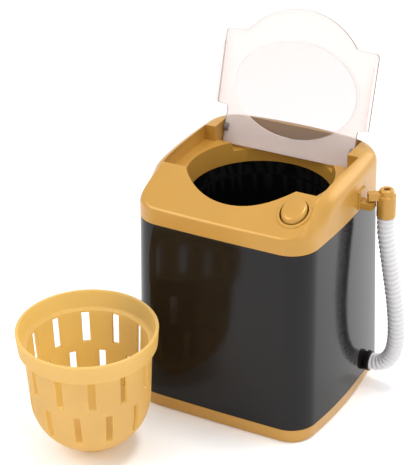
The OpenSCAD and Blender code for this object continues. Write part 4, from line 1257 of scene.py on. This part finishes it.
# ---------------------------------------------------------------------------
# Studio
# ---------------------------------------------------------------------------
class TOYWASH_OT_stage(bpy.types.Operator):
    """Set the pale floor, the soft lights and the camera"""

    bl_idname = "toywash.stage"
    bl_label = "Studio"

    def execute(self, context):
        floor_mat = plastic("studio_floor", (0.96, 0.96, 0.96), 0.55, bump=0.0, mottle=0.0)

        def form(bm):
            bmesh.ops.create_grid(bm, x_segments=1, y_segments=1, size=4.0)

        floor = build("studio_floor", form)
        floor.data.materials.append(floor_mat)

        world = bpy.data.worlds.new("studio")
        context.scene.world = world
        world.use_nodes = True
        background = world.node_tree.nodes["Background"]
        background.inputs["Color"].default_value = (1.0, 1.0, 1.0, 1)
        background.inputs["Strength"].default_value = 1.06
        context.scene.view_settings.view_transform = "Standard"

        lamps = (
            ("key", (-0.45, -0.55, 0.75), 0.5, 2.7),
            ("fill", (0.75, -0.25, 0.45), 0.5, 0.8),
            ("back", (0.5, 0.8, 0.5), 0.6, 2.6),
            ("top", (0.17, 0.05, 0.85), 0.16, 2.6),
        )
        for name, spot, size, watts in lamps:
            data = bpy.data.lights.new(name, "AREA")
            data.shape = "SQUARE"
            data.size = size
            data.energy = watts
            lamp = bpy.data.objects.new(name, data)
            lamp.location = spot
            aim = Vector((0, 0, 0.05)) - Vector(spot)
            lamp.rotation_euler = aim.to_track_quat("-Z", "Y").to_euler()
            context.scene.collection.objects.link(lamp)

        place_camera(context)
        return {"FINISHED"}


def place_camera(context):
    """Camera at the standing viewpoint: right of the front, looking down a little."""
    azimuth, elevation, roll = (math.radians(a) for a in (29.02, 28.59, -1.11))
    distance, shift_x, shift_y = 0.7875, 0.02663, -0.01643
    focal_px = 1687.92
    back = Vector(
        (
            math.sin(azimuth) * math.cos(elevation),
            -math.cos(azimuth) * math.cos(elevation),
            math.sin(elevation),
        )
    )
    right = (-back).cross(Vector((0, 0, 1))).normalized()
    up = right.cross(-back)
    c, s = math.cos(roll), math.sin(roll)
    right, up = c * right + s * up, -s * right + c * up
    data = bpy.data.cameras.new("camera")
    data.sensor_width = 36.0
    data.lens = 36.0 * focal_px / max(VIEW_SIZE)
    data.clip_start, data.clip_end = 0.01, 20.0
    camera = bpy.data.objects.new("camera", data)
    turn = Matrix((right, up, back)).transposed().to_4x4()
    spot = Vector((0, 0, 0.06)) + back * distance - right * shift_x - up * shift_y
    camera.matrix_world = Matrix.Translation(spot) @ turn
    context.scene.collection.objects.link(camera)
    context.scene.camera = camera


# ---------------------------------------------------------------------------
# Panel and registration
# ---------------------------------------------------------------------------
OPERATORS = (
    TOYWASH_OT_cover,
    TOYWASH_OT_shell,
    TOYWASH_OT_lid,
    TOYWASH_OT_basket,
    TOYWASH_OT_hose,
    TOYWASH_OT_cap,
    TOYWASH_OT_button,
    TOYWASH_OT_tub,
    TOYWASH_OT_inner,
    TOYWASH_OT_stage,
)


class TOYWASH_PT_panel(bpy.types.Panel):
    """Buttons for each piece of the toy washing machine"""

    bl_label = "Toy Washer"
    bl_idname = "TOYWASH_PT_panel"
    bl_space_type = "VIEW_3D"
    bl_region_type = "UI"
    bl_category = "Toy Washer"

    def draw(self, context):
        for operator in OPERATORS:
            self.layout.operator(operator.bl_idname)


SCENE_GROUPS = {
    "toywash_body": BodySizes,
    "toywash_lid": LidSizes,
    "toywash_basket": BasketSizes,
    "toywash_hose": HoseSizes,
    "toywash_finishes": Finishes,
}


def register():
    for cls in GROUPS + OPERATORS + (TOYWASH_PT_panel,):
        bpy.utils.register_class(cls)
    for name, group in SCENE_GROUPS.items():
        setattr(bpy.types.Scene, name, PointerProperty(type=group))


def unregister():
    for name in SCENE_GROUPS:
        delattr(bpy.types.Scene, name)
    for cls in reversed(GROUPS + OPERATORS + (TOYWASH_PT_panel,)):
        bpy.utils.unregister_class(cls)


def main():
    register()
    MATERIALS.update(make_materials(bpy.context.scene.toywash_finishes))
    bpy.ops.toywash.stage()
    bpy.ops.toywash.cover()
    bpy.ops.toywash.shell()
    bpy.ops.toywash.lid()
    bpy.ops.toywash.basket()
    bpy.ops.toywash.hose()
    bpy.ops.toywash.cap()
    bpy.ops.toywash.button()
    bpy.ops.toywash.moulded()
    bpy.ops.toywash.inner()


if __name__ == "__main__":
    main()
